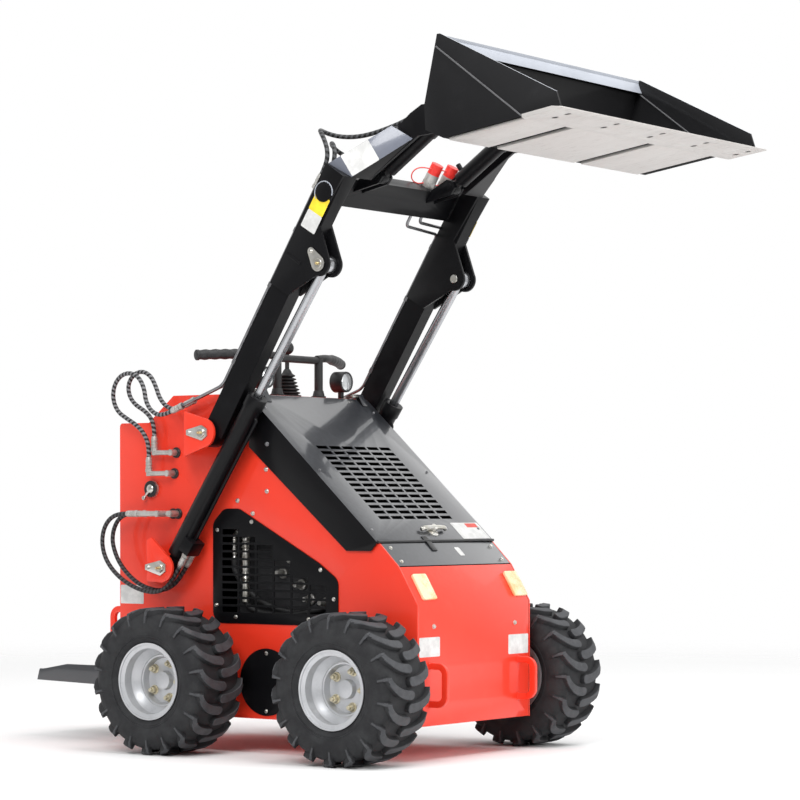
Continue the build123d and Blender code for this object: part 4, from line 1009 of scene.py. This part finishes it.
# %% Lamp glass and rings
RING_SECTION = ((-1, 34), (3, 33.5), (5, 31), (4, 28.5), (-1, 28.5))
GLASS = ((-1, 29), (1, 29), (3, 24), (4.5, 14), (5, 1))
turns = [FULL_TURN * i / 32 for i in range(32)]
for side, name in zip(SIDES, ("left", "right")):
    middle = Vector((-172, side * 206, CONSOLE_Z + 54))
    Shape().turned(middle, (1, 0, 0), GLASS, 32).make("lamp_glass_" + name, "chassis", lens)
    ring = Shape().skin([[middle + Vector((x, radius * math.cos(turn), radius * math.sin(turn)))
                          for x, radius in RING_SECTION] for turn in turns], looped=True)
    ring.make("lamp_bezel_" + name, "chassis", black_plastic)

# %% [markdown]
# ## Bolts
# Fasteners tell the eye how big a machine is. Copies of one bolt could be placed by hand, or all in
# one instancing tree. A helper and a table are simpler: the helper sets a washer and a chamfered
# hexagon head on a wall, and the table says where they go, as on a drill plan.

# %% Body bolts
PLATE_Y, GRILLE_Y = 305.0, 308.0
FRONT_X, REAR_X = 479.0, -702.0
# (x, z) of bolts on each side plate, on the grille that covers its opening, and on the round cover
PLATE_BOLTS = ((-151, 747), (-212, 787), (-95, 816), (-98, 884), (-659, 420), (-659, 300))
GRILLE_BOLTS = ((-292, 695), (-295, 459), (-217, 423), (71, 422), (168, 486), (117, 575), (-154, 721))
COVER_BOLTS = ((-96, 313), (-96, 133))


def add_bolt(shape, foot, outward, size=1.0, phase=0.3):
    """A washer and a chamfered hexagon head, size 1 for an 8 mm bolt."""
    washer = ((-1, 8.4 * size), (1.2 * size, 8.4 * size), (1.6 * size, 7.8 * size))
    bolt_head = ((1 * size, 6.6 * size), (5.4 * size, 6.6 * size), (6.4 * size, 5.4 * size))
    shape.turned(foot, outward, washer, 20)
    shape.turned(foot, outward, bolt_head, 6, phase)


bolts = Shape()
for side in SIDES:
    for x, z in PLATE_BOLTS:
        add_bolt(bolts, (x, side * PLATE_Y, z), (0, side, 0), 0.9, x * 0.01)
    for x, z in GRILLE_BOLTS + COVER_BOLTS:
        add_bolt(bolts, (x, side * GRILLE_Y, z), (0, side, 0), 0.8, z * 0.01)
for y, z in ((-221, 408), (218, 406)):
    add_bolt(bolts, (FRONT_X, y, z), (1, 0, 0), 0.9)
for y in (-260, -90, 90, 260):
    add_bolt(bolts, (REAR_X, y, 940), (-1, 0, 0), 0.9)
bolts.make("body_bolts", "chassis", zinc, 0.0003)

# %% [markdown]
# The hood, the small cover and the front below it are three slopes in one folded line. A helper walks
# up such a slope and then steps off it, so a bolt or a label on a slope needs three simple measures.

# %% Points on a slope
# x and z of the folds, from the hood's top edge down to the front panel
HOOD_TOP, HOOD_LIP, COVER_LIP, SLOPE_FOOT = (-168, 1121), (339, 657), (410, 587), (479, 473)


def angle_of(foot, top):
    """How steeply the line from foot to top rises; each is an (x, z) pair."""
    return math.atan2(top[1] - foot[1], top[0] - foot[0])


def on_slope(foot, angle, up, y, rise=0.0):
    """A point up a slope from its foot, across it, and off it by rise."""
    return Vector((foot[0] + up * math.cos(angle) + rise * math.sin(angle), y,
                   foot[1] + up * math.sin(angle) - rise * math.cos(angle)))


def hood_point(up, y, rise=0.0):
    """A point on the hood: up its slope from the lower edge, across, and above its skin."""
    return on_slope(HOOD_LIP, angle_of(HOOD_LIP, HOOD_TOP), up, y, rise)


def cover_point(down, y, rise=0.0):
    """A point on the small cover below the hood, down from the fold between them."""
    return on_slope(HOOD_LIP, angle_of(COVER_LIP, HOOD_LIP), -down, y, rise)


HOOD_OUT = (hood_point(0, 0, 1) - hood_point(0, 0)).normalized()
COVER_OUT = (cover_point(0, 0, 1) - cover_point(0, 0)).normalized()
print("the hood faces", tuple(round(value, 3) for value in HOOD_OUT))

# %% Cover and hood bolts
cover_bolts = Shape()
for y in (-270, 270):
    add_bolt(cover_bolts, cover_point(20, y), COVER_OUT, 0.8)
    add_bolt(cover_bolts, cover_point(78, y), COVER_OUT, 0.8)
cover_bolts.make("cover_bolts", "chassis", zinc, 0.0003)
hood_bolts = Shape()
for up, y in ((60, -285), (60, 285), (330, -285), (330, 285), (620, -285), (620, 285)):
    add_bolt(hood_bolts, hood_point(up, y), HOOD_OUT, 0.6)
for side in SIDES:
    add_bolt(hood_bolts, (-88, side * 313.0, 962), (0, side, 0), 0.9)
hood_bolts.make("hood_bolts", "hood", dark_zinc, 0.0003)

# %% [markdown]
# ## Keepers and grease nipples
# A pin is kept from turning by a small plate with one bolt, and greased through a nipple in its end.
# The keeper at the arm's pin is a teardrop. Two discs could be joined by a boolean, but two arcs that
# meet on their common tangents give the same outline with clean edges.

# %% Keepers on the body
BOOM_PIVOT, LIFT_FOOT, LIFT_PIN = (-275, 998), (-445, 575), (175, 1501)      # x and z of the pins
KEEPER_Y = 407.0
PIN_END = ((-2, 15), (6, 15), (7.5, 13))
NIPPLE = ((6, 5), (11, 5), (12, 3), (16, 3), (17, 3.8), (20, 3.2), (21, 1.5))
keepers, nipples = Shape(), Shape()
for x, z in (BOOM_PIVOT, LIFT_FOOT):
    for side in SIDES:
        y, outward = side * KEEPER_Y, (0, side, 0)
        add_bolt(keepers, (x - 50, y, z + 2), outward, 0.9)
        keepers.turned((x, y, z), outward, PIN_END, 24)
        nipples.turned((x, y, z), outward, NIPPLE, 12)
keepers.make("keeper_bolts", "chassis", zinc, 0.0004)
nipples.make("chassis_nipples", "chassis", brass_nipple)

# %% Keepers on the arms
KEEPER_BOLT = (149, 1539)
EAR_OUT, EAR_IN = 396.0, 322.0        # y of the arm's outer ear and of its inner one
ARM_NIPPLE = ((3, 5), (8, 5), (9, 3), (13, 3), (15, 2))


def teardrop(wide, wide_radius, narrow, narrow_radius, y, steps=14):
    """The outline of a keeper plate, with a wide end round the pin and a narrow one round its bolt."""
    turn = angle_of(wide, narrow)
    lean = math.acos((wide_radius - narrow_radius) / math.dist(wide, narrow))
    outline = []
    for middle, radius, start, stop in ((wide, wide_radius, turn + lean, turn + FULL_TURN - lean),
                                        (narrow, narrow_radius, turn - lean, turn + lean)):
        for i in range(steps + 1):
            angle = start + (stop - start) * i / steps
            outline.append((middle[0] + radius * math.cos(angle), y, middle[1] + radius * math.sin(angle)))
    return outline


arm_pins, arm_nipples = Shape(), Shape()
for side in SIDES:
    y, outward = side * EAR_OUT, (0, side, 0)
    arm_pins.plate(teardrop(LIFT_PIN, 24, KEEPER_BOLT, 12, y - 0.5 * side), (0, 3 * side, 0))
    add_bolt(arm_pins, (KEEPER_BOLT[0], y + 2.5 * side, KEEPER_BOLT[1]), outward, 0.8)
    arm_pins.turned((LIFT_PIN[0], y, LIFT_PIN[1]), outward, ((-2, 15), (3, 15), (4, 13.5)), 24)
    arm_nipples.turned((LIFT_PIN[0], y, LIFT_PIN[1]), outward, ARM_NIPPLE, 12)
for side in SIDES:
    foot = (LIFT_PIN[0], side * EAR_IN, LIFT_PIN[1])
    arm_pins.turned(foot, (0, -side, 0), ((-1, 14), (2, 14), (3, 12.5)), 24)
arm_pins.make("arm_pin_ends", "boom", zinc, 0.0004)
arm_nipples.make("arm_nipples", "boom", brass_nipple)

# %% [markdown]
# ## Weld beads
# A weld is a row of frozen drops laid in a corner. A bump on the steel would show it from the front,
# and from the side it would be flat. A thin tube whose radius ripples keeps its outline from any side.

# %% Lines for welds
ARM_Y_OUT = 392.0
WELD_RADIUS, WELD_RIPPLE, WELD_PITCH = 2.6, 0.35, 5


def bead_radius(distance):
    """A weld's radius, with the ripples that the torch leaves."""
    return WELD_RADIUS + WELD_RIPPLE * math.sin(distance * FULL_TURN / WELD_PITCH)


def straight(start, end, pitch=WELD_PITCH / 2):
    """Points along a straight line, close enough together for a weld's ripples."""
    start, end = Vector(start), Vector(end)
    count = max(2, int((end - start).length / pitch))
    return [start.lerp(end, i / count) for i in range(count + 1)]


# %% Welds on the arms
DISC_MIDDLE, DISC_RADIUS = (193, 1714), 33       # of the disc welded to the arm's elbow
COUPLER_Y, HALF_LONG, HALF_WIDE = 321, 46, 30    # of the cross tube's end on the arm
arm_welds, arm_arcs = Shape(), Shape()
for side in SIDES:
    y = side * ARM_Y_OUT
    arm_welds.tube(straight((50, y, 1538), (103, y, 1502)), bead_radius, 8)
    arm_welds.tube(straight((53, y, 1541), (106, y, 1505)), bead_radius, 8)
    arc = [(DISC_MIDDLE[0] + DISC_RADIUS * math.cos(turn), y, DISC_MIDDLE[1] + DISC_RADIUS * math.sin(turn))
           for turn in map(math.radians, range(-20, 215, 4))]
    arm_arcs.tube(arc, lambda distance: bead_radius(distance) * 0.8, 8)
for side in SIDES:
    foot = [on_slope(CROSS_TUBE, ARM_ANGLE, HALF_LONG * a, side * COUPLER_Y, -HALF_WIDE * b)
            for a, b in ((-1, -1), (1, -1), (1, 1), (-1, 1))]
    for start, end in zip(foot, foot[1:] + foot[:1]):
        arm_welds.tube(straight(start, end), bead_radius, 8)
arm_welds.make("arm_welds", "boom", gloss_black)
# the weld arcs round the discs are pale, a painted highlight
arm_arcs.make("disc_weld_arcs", "boom", painted_highlight_grey)

# %% Welds and bolts on the bucket and the front
EDGE_FOOT, EDGE_TURN, EDGE_HALF = (748, 1816), math.atan2(58, 393), 11
grey_weld = enamel("grey_weld", (0.07, 0.07, 0.075), (0.11, 0.11, 0.115), 0.4, (0.2, 0.2, 0.2),
                   0.2, 0.4, 0.2)
bucket_welds = Shape()
for y in (-557, -545, 545, 557):
    bucket_welds.tube(straight((722, y, 2078), (1015, y, 1856)), bead_radius, 8)
bucket_welds.make("bucket_welds", "bucket", grey_weld)
plugs = Shape()
for y in (-492, -235, 22, 279, 536):
    for distance in (337, 380):
        foot = on_slope(EDGE_FOOT, EDGE_TURN, distance, y, EDGE_HALF)
        plugs.turned(foot, (-math.sin(EDGE_TURN), 0, math.cos(EDGE_TURN)), ((0, 9.9), (10, 9.9)), 24)
plugs.make("edge_bolts", "bucket", matte_black_and_painted_shade)
loop_welds = Shape()
for y in (240, -240):
    for z in (165, 185, 280, 300):
        loop_welds.tube(straight((FRONT_X, y - 7, z), (FRONT_X, y + 7, z)), bead_radius, 8)
loop_welds.make("loop_welds", "chassis", body_red)

# %% [markdown]
# ## Labels
# The machine carries labels for its operator. They would usually be images on a plane. Here they are
# blank vinyl, so a thin plate with rounded corners that stands a fraction of a millimetre off its
# panel is enough. The one on each arm is half yellow.

# %% Vinyl and a rounded label
white_vinyl = soft_plastic("white_vinyl", (0.62, 0.62, 0.61), 0.35, 0.00005)
yellow_vinyl = soft_plastic("yellow_vinyl", (0.85, 0.62, 0.03), 0.35, 0.00005)
red_vinyl = soft_plastic("red_vinyl", (0.62, 0.05, 0.03), 0.35, 0.00005)


def add_label(shape, middle, across, up, wide, high, lift=0.5, corner=4.0):
    """A rounded plate about its middle; across and up are directions in its plane."""
    across, up = Vector(across).normalized(), Vector(up).normalized()
    outline = []
    for turn, (sx, sy) in enumerate(((1, 1), (-1, 1), (-1, -1), (1, -1))):
        for step in (0, 30, 60, 90):
            angle = math.radians(90 * turn + step)
            x = sx * (wide / 2 - corner) + corner * math.cos(angle)
            y = sy * (high / 2 - corner) + corner * math.sin(angle)
            outline.append(Vector(middle) + across * x + up * y)
    out = across.cross(up)
    shape.plate([point + out * 0.05 for point in outline], out * lift)


# %% Labels on the body and the hood
ACROSS, UP = Vector((0, 1, 0)), Vector((0, 0, 1))
up_hood = hood_point(1, 0) - hood_point(0, 0)
body_labels = Shape()
add_label(body_labels, (FRONT_X, -242.5, 346.5), ACROSS, UP, 107, 59)
add_label(body_labels, (FRONT_X, 238.5, 338.5), ACROSS, UP, 111, 61)
for side in SIDES:
    add_label(body_labels, (-650, side * PLATE_Y, 486), (-side, 0, 0), UP, 98, 60)
add_label(body_labels, cover_point(40, 76), ACROSS, cover_point(0, 0) - cover_point(1, 0), 26, 36)
body_labels.make("body_labels", "chassis", white_vinyl)
hood_labels = Shape()
add_label(hood_labels, hood_point(52, 232), ACROSS, up_hood, 150, 74)
hood_labels.make("hood_label", "hood", white_vinyl)
stripe = Shape()
add_label(stripe, hood_point(76, 262, 0.6), ACROSS, up_hood, 60, 18, 0.3, 1.0)
stripe.make("hood_label_stripe", "hood", red_vinyl)

# %% Labels on the arms and the noses
arm_along = Vector((math.cos(ARM_ANGLE), 0, math.sin(ARM_ANGLE)))
arm_across = Vector((math.sin(ARM_ANGLE), 0, -math.cos(ARM_ANGLE)))
arm_white, arm_yellow = Shape(), Shape()
for side in SIDES:
    middle = Vector((162, side * ARM_Y_OUT, 1654))
    add_label(arm_white, middle - arm_along * 29, arm_across * -side, arm_along, 60, 58)
    add_label(arm_yellow, middle + arm_along * 29, arm_across * -side, arm_along, 60, 58)
arm_white.make("arm_label_white", "boom", white_vinyl)
arm_yellow.make("arm_label_yellow", "boom", yellow_vinyl)
nose_label = Shape()
for side in SIDES:
    out = Vector((0.4616, side * 0.887, 0))
    along_nose = Vector((168, -side * 87.4, 110)).normalized()
    middle = Vector((289, side * 337, 1816)) + out * 0.3
    add_label(nose_label, middle, along_nose, out.cross(along_nose), 96, 72, 0.6)
nose_label.make("nose_label", "boom", white_vinyl)

# %% [markdown]
# ## Reflectors
# Two amber reflectors are glued to the front slope. Each is a block with rounded corners, which is what
# a label is when it stands nine millimetres off its panel.

# %% Reflectors
FRONT_SLOPE = angle_of(SLOPE_FOOT, COVER_LIP)
up_slope = (math.cos(FRONT_SLOPE), 0, math.sin(FRONT_SLOPE))
reflector_pads = Shape()
for y in (-232, 262):
    middle = on_slope(SLOPE_FOOT, FRONT_SLOPE, 60, y)
    add_label(reflector_pads, middle, ACROSS, up_slope, 70, 88, 9.0, 7.0)
piece = reflector_pads.make("reflector_pads", "chassis", reflector_amber, 0.0015)
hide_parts("reflectors")

# %% [markdown]
# ## Hood latch, seal and strap
# A T-handle turns to lock the hood, and a rubber strap hangs from its lower edge over the cover. The
# strap could be a box bent by a modifier. A flat section carried over the fold, with each ring square
# to the sheet below it, follows the fold exactly.

# %% Latch, seal and strap
LATCH_HUB = ((-1, 24), (3, 24), (4, 22), (5, 12), (20, 12), (22, 10))
STRAP_SECTION = ((-66, 0), (-40, 0), (-40, 3), (-66, 3))      # y, and height off the sheet
handle = Shape()
handle.tube(arc_line([hood_point(52, y, rise) for y, rise in
                      ((-44, 8), (-30, 15), (20, 17), (70, 15), (86, 8))], 6), 7.0, 12)
handle.turned(hood_point(52, 20), HOOD_OUT, LATCH_HUB, 24)
piece = handle.make("latch_handle", "hood", zinc, 0.0005)
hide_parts("hood_latch")
seal = Shape().tube([hood_point(6, y, 1.5) for y in (-310, -150, 0, 150, 310)], 4.5, 12)
seal.make("hood_edge_seal", "hood", black_plastic)
# points down the strap, with the direction that faces out of the sheet there
strap_rows = (
    (hood_point(26, 0, 0.2), HOOD_OUT), (hood_point(12, 0, 0.2), HOOD_OUT),
    (hood_point(1, 0, 1.5), (HOOD_OUT + COVER_OUT).normalized()), (cover_point(2, 0, 2.5), COVER_OUT),
    (cover_point(20, 0, 1.0), COVER_OUT), (cover_point(36, 0, 1.0), COVER_OUT),
)
strap = Shape().skin([[point + Vector((0, y, 0)) + out * rise for y, rise in STRAP_SECTION]
                      for point, out in strap_rows])
strap.make("hood_strap", "hood", black_plastic, 0.0006)

# %% [markdown]
# ## Behind the grille
# Through the side grille one sees two bright pipes with ripples like a spring, two dark hoses and a few
# nuts. A whole engine would be wasted there, so the few things that catch the light are tubes and
# rounds that start or end in the engine's block.

# %% Behind the grille
RIPPLE, RIPPLE_PITCH = 1.6, 14
FITTING = ((0, 17), (10, 17), (12, 11), (40, 9), (44, 7))
HOSE_LINES = (
    ((-253, 270, 604), (-248, 266, 560), (-200, 256, 500), (-110, 240, 450), (9, 196, 430)),
    ((-207, 270, 484), (-200, 262, 455), (-150, 250, 435), (-60, 235, 430), (55, 196, 452)),
)
pipes = Shape()
for x, low, wide in ((-253, 590, 7.5), (-207, 470, 12)):
    for side in SIDES:
        line = arc_line([(x, side * y, z) for y, z in
                         ((270, low), (270, 670), (262, 688), (240, 694), (196, 694))], 30)
        pipes.tube(line, lambda distance, wide=wide: (
            wide + RIPPLE * math.sin(distance * FULL_TURN / RIPPLE_PITCH)), 14)
pipes.make("segmented_pipes", "chassis", zinc)
dark_hoses = Shape()
for line in HOSE_LINES:
    for side in SIDES:
        dark_hoses.tube(arc_line([(x, side * y, z) for x, y, z in line], 8), 11, 12)
dark_hoses.make("engine_hoses", "chassis", grip_rubber)
fittings = Shape()
for x, z in ((-36, 525), (0, 480), (93, 537), (-60, 600), (30, 620), (-110, 560), (60, 470), (-90, 650)):
    for side in SIDES:
        fittings.turned((x, side * 198, z), (0, side, 0), FITTING, 20)
fittings.make("engine_fittings", "chassis", dull_zinc, 0.0005)

# %% [markdown]
# ## Gauge, grommets and the pipes along the lift cylinders
# On the right wall are a round gauge with a key below it, and a rubber grommet for each hose. A steel
# pipe runs along each lift cylinder to its far end. Turned rounds and one tube make them all.

# %% Gauge, key and grommets
GAUGE, KEY = (-562, -315, 825), (-584, -318, 796)
gauge, gauge_ring = Shape(), Shape()
gauge.turned(GAUGE, (0, -1, 0), ((0, 14), (5, 14), (7, 11), (9, 4)), 24)
gauge.tube([(-566, -318, 820), (-574, -322, 808), (-584, -323, 796)], 4.0, 10)
gauge.turned(KEY, (0, -1, 0), ((0, 7), (8, 7), (9, 6)), 16)
gauge.make("gauge_glass_and_key", "chassis", zinc, 0.0003)
gauge_ring.turned(GAUGE, (0, -1, 0), ((-0.5, 26.4), (2, 26.4), (3, 25), (3.2, 15)), 32)
gauge_ring.make("gauge_ring", "chassis", black_plastic)
grommets = Shape()
for x, z in ((-470, 874), (-462, 940), (-475, 746), (-455, 746)):
    grommets.turned((x, -PLATE_Y, z), (0, -1, 0), ((-1, 17), (4, 17), (7, 14), (7.5, 10.5)), 24)
grommets.make("port_grommets", "chassis", black_plastic)

# %% Pipes along the lift cylinders
LIFT_TURN = angle_of(LIFT_FOOT, LIFT_PIN)
# distance along the cylinder from its foot, and off its axis towards the front
BARREL_LINE = ((110, 26), (122, 37), (180, 38), (300, 37.5), (450, 37.5), (556, 37.5), (574, 34), (578, 26))
barrel_pipes = Shape()
for y in (-357, 357):
    barrel_pipes.tube(arc_line([on_slope(LIFT_FOOT, LIFT_TURN, distance, y, offset)
                                for distance, offset in BARREL_LINE], 6), 5.5, 12)
barrel_pipes.make("barrel_pipes", "lift_barrels", gloss_black)

# %% [markdown]
# ## Cap loops
# A thin plastic loop keeps each coupler's cap from being lost.

# %% Cap loops
LOOP_RADIUS = 2.0
# x, y from the coupler's middle, and z
LOOP_LINE = ((193, -18, 1838), (172, -44, 1846), (146, -58, 1832), (138, -54, 1806), (150, -34, 1792),
             (163, -19, 1797))
for index, coupler_y in enumerate((190, 275)):
    name = f"cap_loop_{index}"
    path = spline_points(name, [(x, coupler_y + y, z) for x, y, z in LOOP_LINE])
    line = [in_drawing(point) for point in path]
    loop = Shape().tube(line, LOOP_RADIUS, 8).make(name, "boom", red_plastic)
    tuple(path[0])
    length_of(path)
    print(name, "length", round(length_of(path), 3), "m")

# %% [markdown]
# ## Ends of the hoses
# A hose ends in a steel sleeve that is crimped in rings, and a hexagon nut. All twelve ends are the
# same part, so one turned outline serves, and the table gives each mouth and its direction.

# %% Ends of the hoses
# columns: body, mouth of the hose end, direction in which the hose leaves it
HOSE_ENDS = (
    ("chassis", (-548, -340, 924), (0, 0, 1)), ("chassis", (-532, -332, 990), (0, 0, 1)),
    ("chassis", (-600, -385, 746), (-1, 0, 0)), ("chassis", (-600, -345, 746), (-1, 0, 0)),
    ("boom", (-421, -374, 1070), (-0.94, 0, -0.342)), ("boom", (-400, -340, 1088), (-0.94, 0, -0.342)),
    ("boom", (170.7, -374, 1769.2), (0.525, 0, 0.851)), ("boom", (170.7, -340, 1769.2), (0.525, 0, 0.851)),
    ("lift_barrels", (-385.1, -379, 581.8), (-0.556, 0, -0.831)),
    ("lift_barrels", (-385.1, -347, 581.8), (-0.556, 0, -0.831)),
    ("tilt_barrels", (381.9, -192, 1949.6), (-0.927, 0, -0.375)),
    ("tilt_barrels", (242, -192, 1834.5), (-0.99, 0, -0.139)),
)
SLEEVE = ((-34, 8), (-33, 10.4), (-28, 10.4), (-27, 9.6), (-24, 9.6), (-23, 10.6), (-18, 10.6), (-17, 9.6),
          (-14, 9.6), (-13, 10.6), (-8, 10.6), (-7, 9.8), (-3, 9.8), (-2, 9.2), (2, 8.6), (3, 7.2))
END_NUT, NUT_BEHIND = ((0, 11.5), (11, 11.5), (12, 10)), 46
crimps = {body: Shape() for body in ("chassis", "boom", "lift_barrels", "tilt_barrels")}
for body, mouth, heading in HOSE_ENDS:
    crimps[body].turned(mouth, heading, SLEEVE, 18)
    crimps[body].turned(Vector(mouth) - Vector(heading) * NUT_BEHIND, heading, END_NUT, 6)
for body, shape in crimps.items():
    shape.make("hose_ends_" + body, body, dull_zinc)

# %% [markdown]
# ## The studio
# A pale floor and a white surround give the soft light of an overcast day. A curved backdrop would do,
# but it would stand in the way of a view from behind, so the floor fades out instead, by its
# Alpha, and the surround goes on behind it.

# %% Floor
FLOOR_HALF = 60.0
CLEAR_FROM, CLEAR_TO = 2.6, 7.5       # metres from the middle, where the floor starts and ends to fade
floor_mesh = bpy.data.meshes.new("studio_floor")
floor_corners = [(x * FLOOR_HALF, y * FLOOR_HALF, 0) for x, y in ((-1, -1), (1, -1), (1, 1), (-1, 1))]
floor_mesh.from_pydata(floor_corners, [], [(0, 1, 2, 3)])
floor = bpy.data.objects.new("studio_floor", floor_mesh)
bpy.context.scene.collection.objects.link(floor)
floor_finish = Finish("studio_floor")
distance = floor_finish.node("ShaderNodeVectorMath", {"operation": "LENGTH"},
                             {0: floor_finish.place()}, "Value")
floor_finish.set(
    Base_Color=floor_finish.mix((0.88, 0.88, 0.88), (0.92, 0.92, 0.92), floor_finish.noise(0.8)),
    Roughness=0.95,
    Specular_IOR_Level=0.0,
    Alpha=1 - distance.above((CLEAR_FROM + CLEAR_TO) / 2, (CLEAR_TO - CLEAR_FROM) / 2),
)
floor_mesh.materials.append(floor_finish.material)
floor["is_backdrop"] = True

# %% [markdown]
# The surround is white above and behind the machine, and grey in front of it. Black enamel mirrors
# what is in front of it, so that grey is what keeps the arms and the bucket black. The step between
# the two follows one fixed direction in the room, wherever the camera stands.

# %% Surround
WHITE_SIDE = (-0.6, 0.8, 0.35)
GREY, WHITE = 0.42, 1.0
world = bpy.data.worlds.new("overcast")
world.use_nodes = True
surround = Network(world.node_tree)
heading = surround.node("ShaderNodeTexCoord", output="Generated")
behind = surround.node("ShaderNodeVectorMath", {"operation": "DOT_PRODUCT"},
                       {0: heading, 1: WHITE_SIDE}, "Value")
sky = world.node_tree.nodes["Background"]
surround.plug(sky.inputs["Color"], GREY + behind.above(0.15, 0.45) * (WHITE - GREY))
surround.plug(sky.inputs["Strength"], 1.0)
bpy.context.scene.world = world
bpy.context.scene.view_settings.view_transform = "Standard"

# %% [markdown]
# One large lamp from the front and right of the machine models the forms, and a second in front of it
# fills the shadows. A weak one at the machine's left lays a grey sheen on the hood, and one above draws
# a bright line on the sloping panels. All are large areas, because small lamps cast hard shadows.

# %% Lamps
# columns: name, place, target, width and height, power in watts
LAMPS = (
    ("key", (2.2, -6.0, 5.2), (0.0, 0.0, 1.0), (3.5, 3.5), 300),
    ("fill", (6.5, 1.5, 3.0), (0.2, 0.0, 0.8), (3.0, 3.0), 110),
    ("glare", (0.45, 4.6, 3.9), (0.3, 0.0, 0.7), (3.5, 3.5), 20),
    ("top", (2.6, -0.4, 5.6), (0.3, 0.0, 0.9), (3.0, 3.0), 190),
)
for name, place, target, size, power in LAMPS:
    data = bpy.data.lights.new(name, "AREA")
    data.shape, data.size, data.size_y, data.energy = "RECTANGLE", *size, power
    lamp = bpy.data.objects.new(name, data)
    lamp.location = place
    lamp.rotation_euler = (Vector(place) - Vector(target)).to_track_quat("Z", "Y").to_euler()
    bpy.context.scene.collection.objects.link(lamp)
    print(name, "lamp", round((Vector(place) - Vector(target)).length, 1), "m from its target")

# %% [markdown]
# ## The camera
# A long lens from nearly nine metres keeps the machine's lines nearly parallel. It stands a little above the
# tyres, so it looks up at the bucket, and its frame is shifted so that the whole machine fits.

# %% Camera
camera_data = bpy.data.cameras.new("camera")
camera_data.sensor_width = 36
camera_data.lens = 126.16
camera_data.shift_x, camera_data.shift_y = 0.062, 0.1995
camera = bpy.data.objects.new("camera", camera_data)
camera.location = spot(5334, -7107, 765)
backwards = camera.location - spot(0, 0, 600.5)
camera.rotation_mode = "QUATERNION"
camera.rotation_quaternion = backwards.to_track_quat("Z", "Y")
bpy.context.scene.collection.objects.link(camera)
bpy.context.scene.camera = camera
print("camera", round(backwards.length, 2), "m from the machine")

# %% [markdown]
# ## Sizes
# The dressed machine's box is measured at the end and printed, to set beside the solids' box that was
# printed at the start. The dressed machine has to stay inside the solids' box.

# %% Measure and print the sizes
low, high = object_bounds()
{"cad": [list(cad_low), list(cad_high)], "visual": [list(low), list(high)]}
print("visual model from", tuple(round(v, 3) for v in low), "to", tuple(round(v, 3) for v in high))
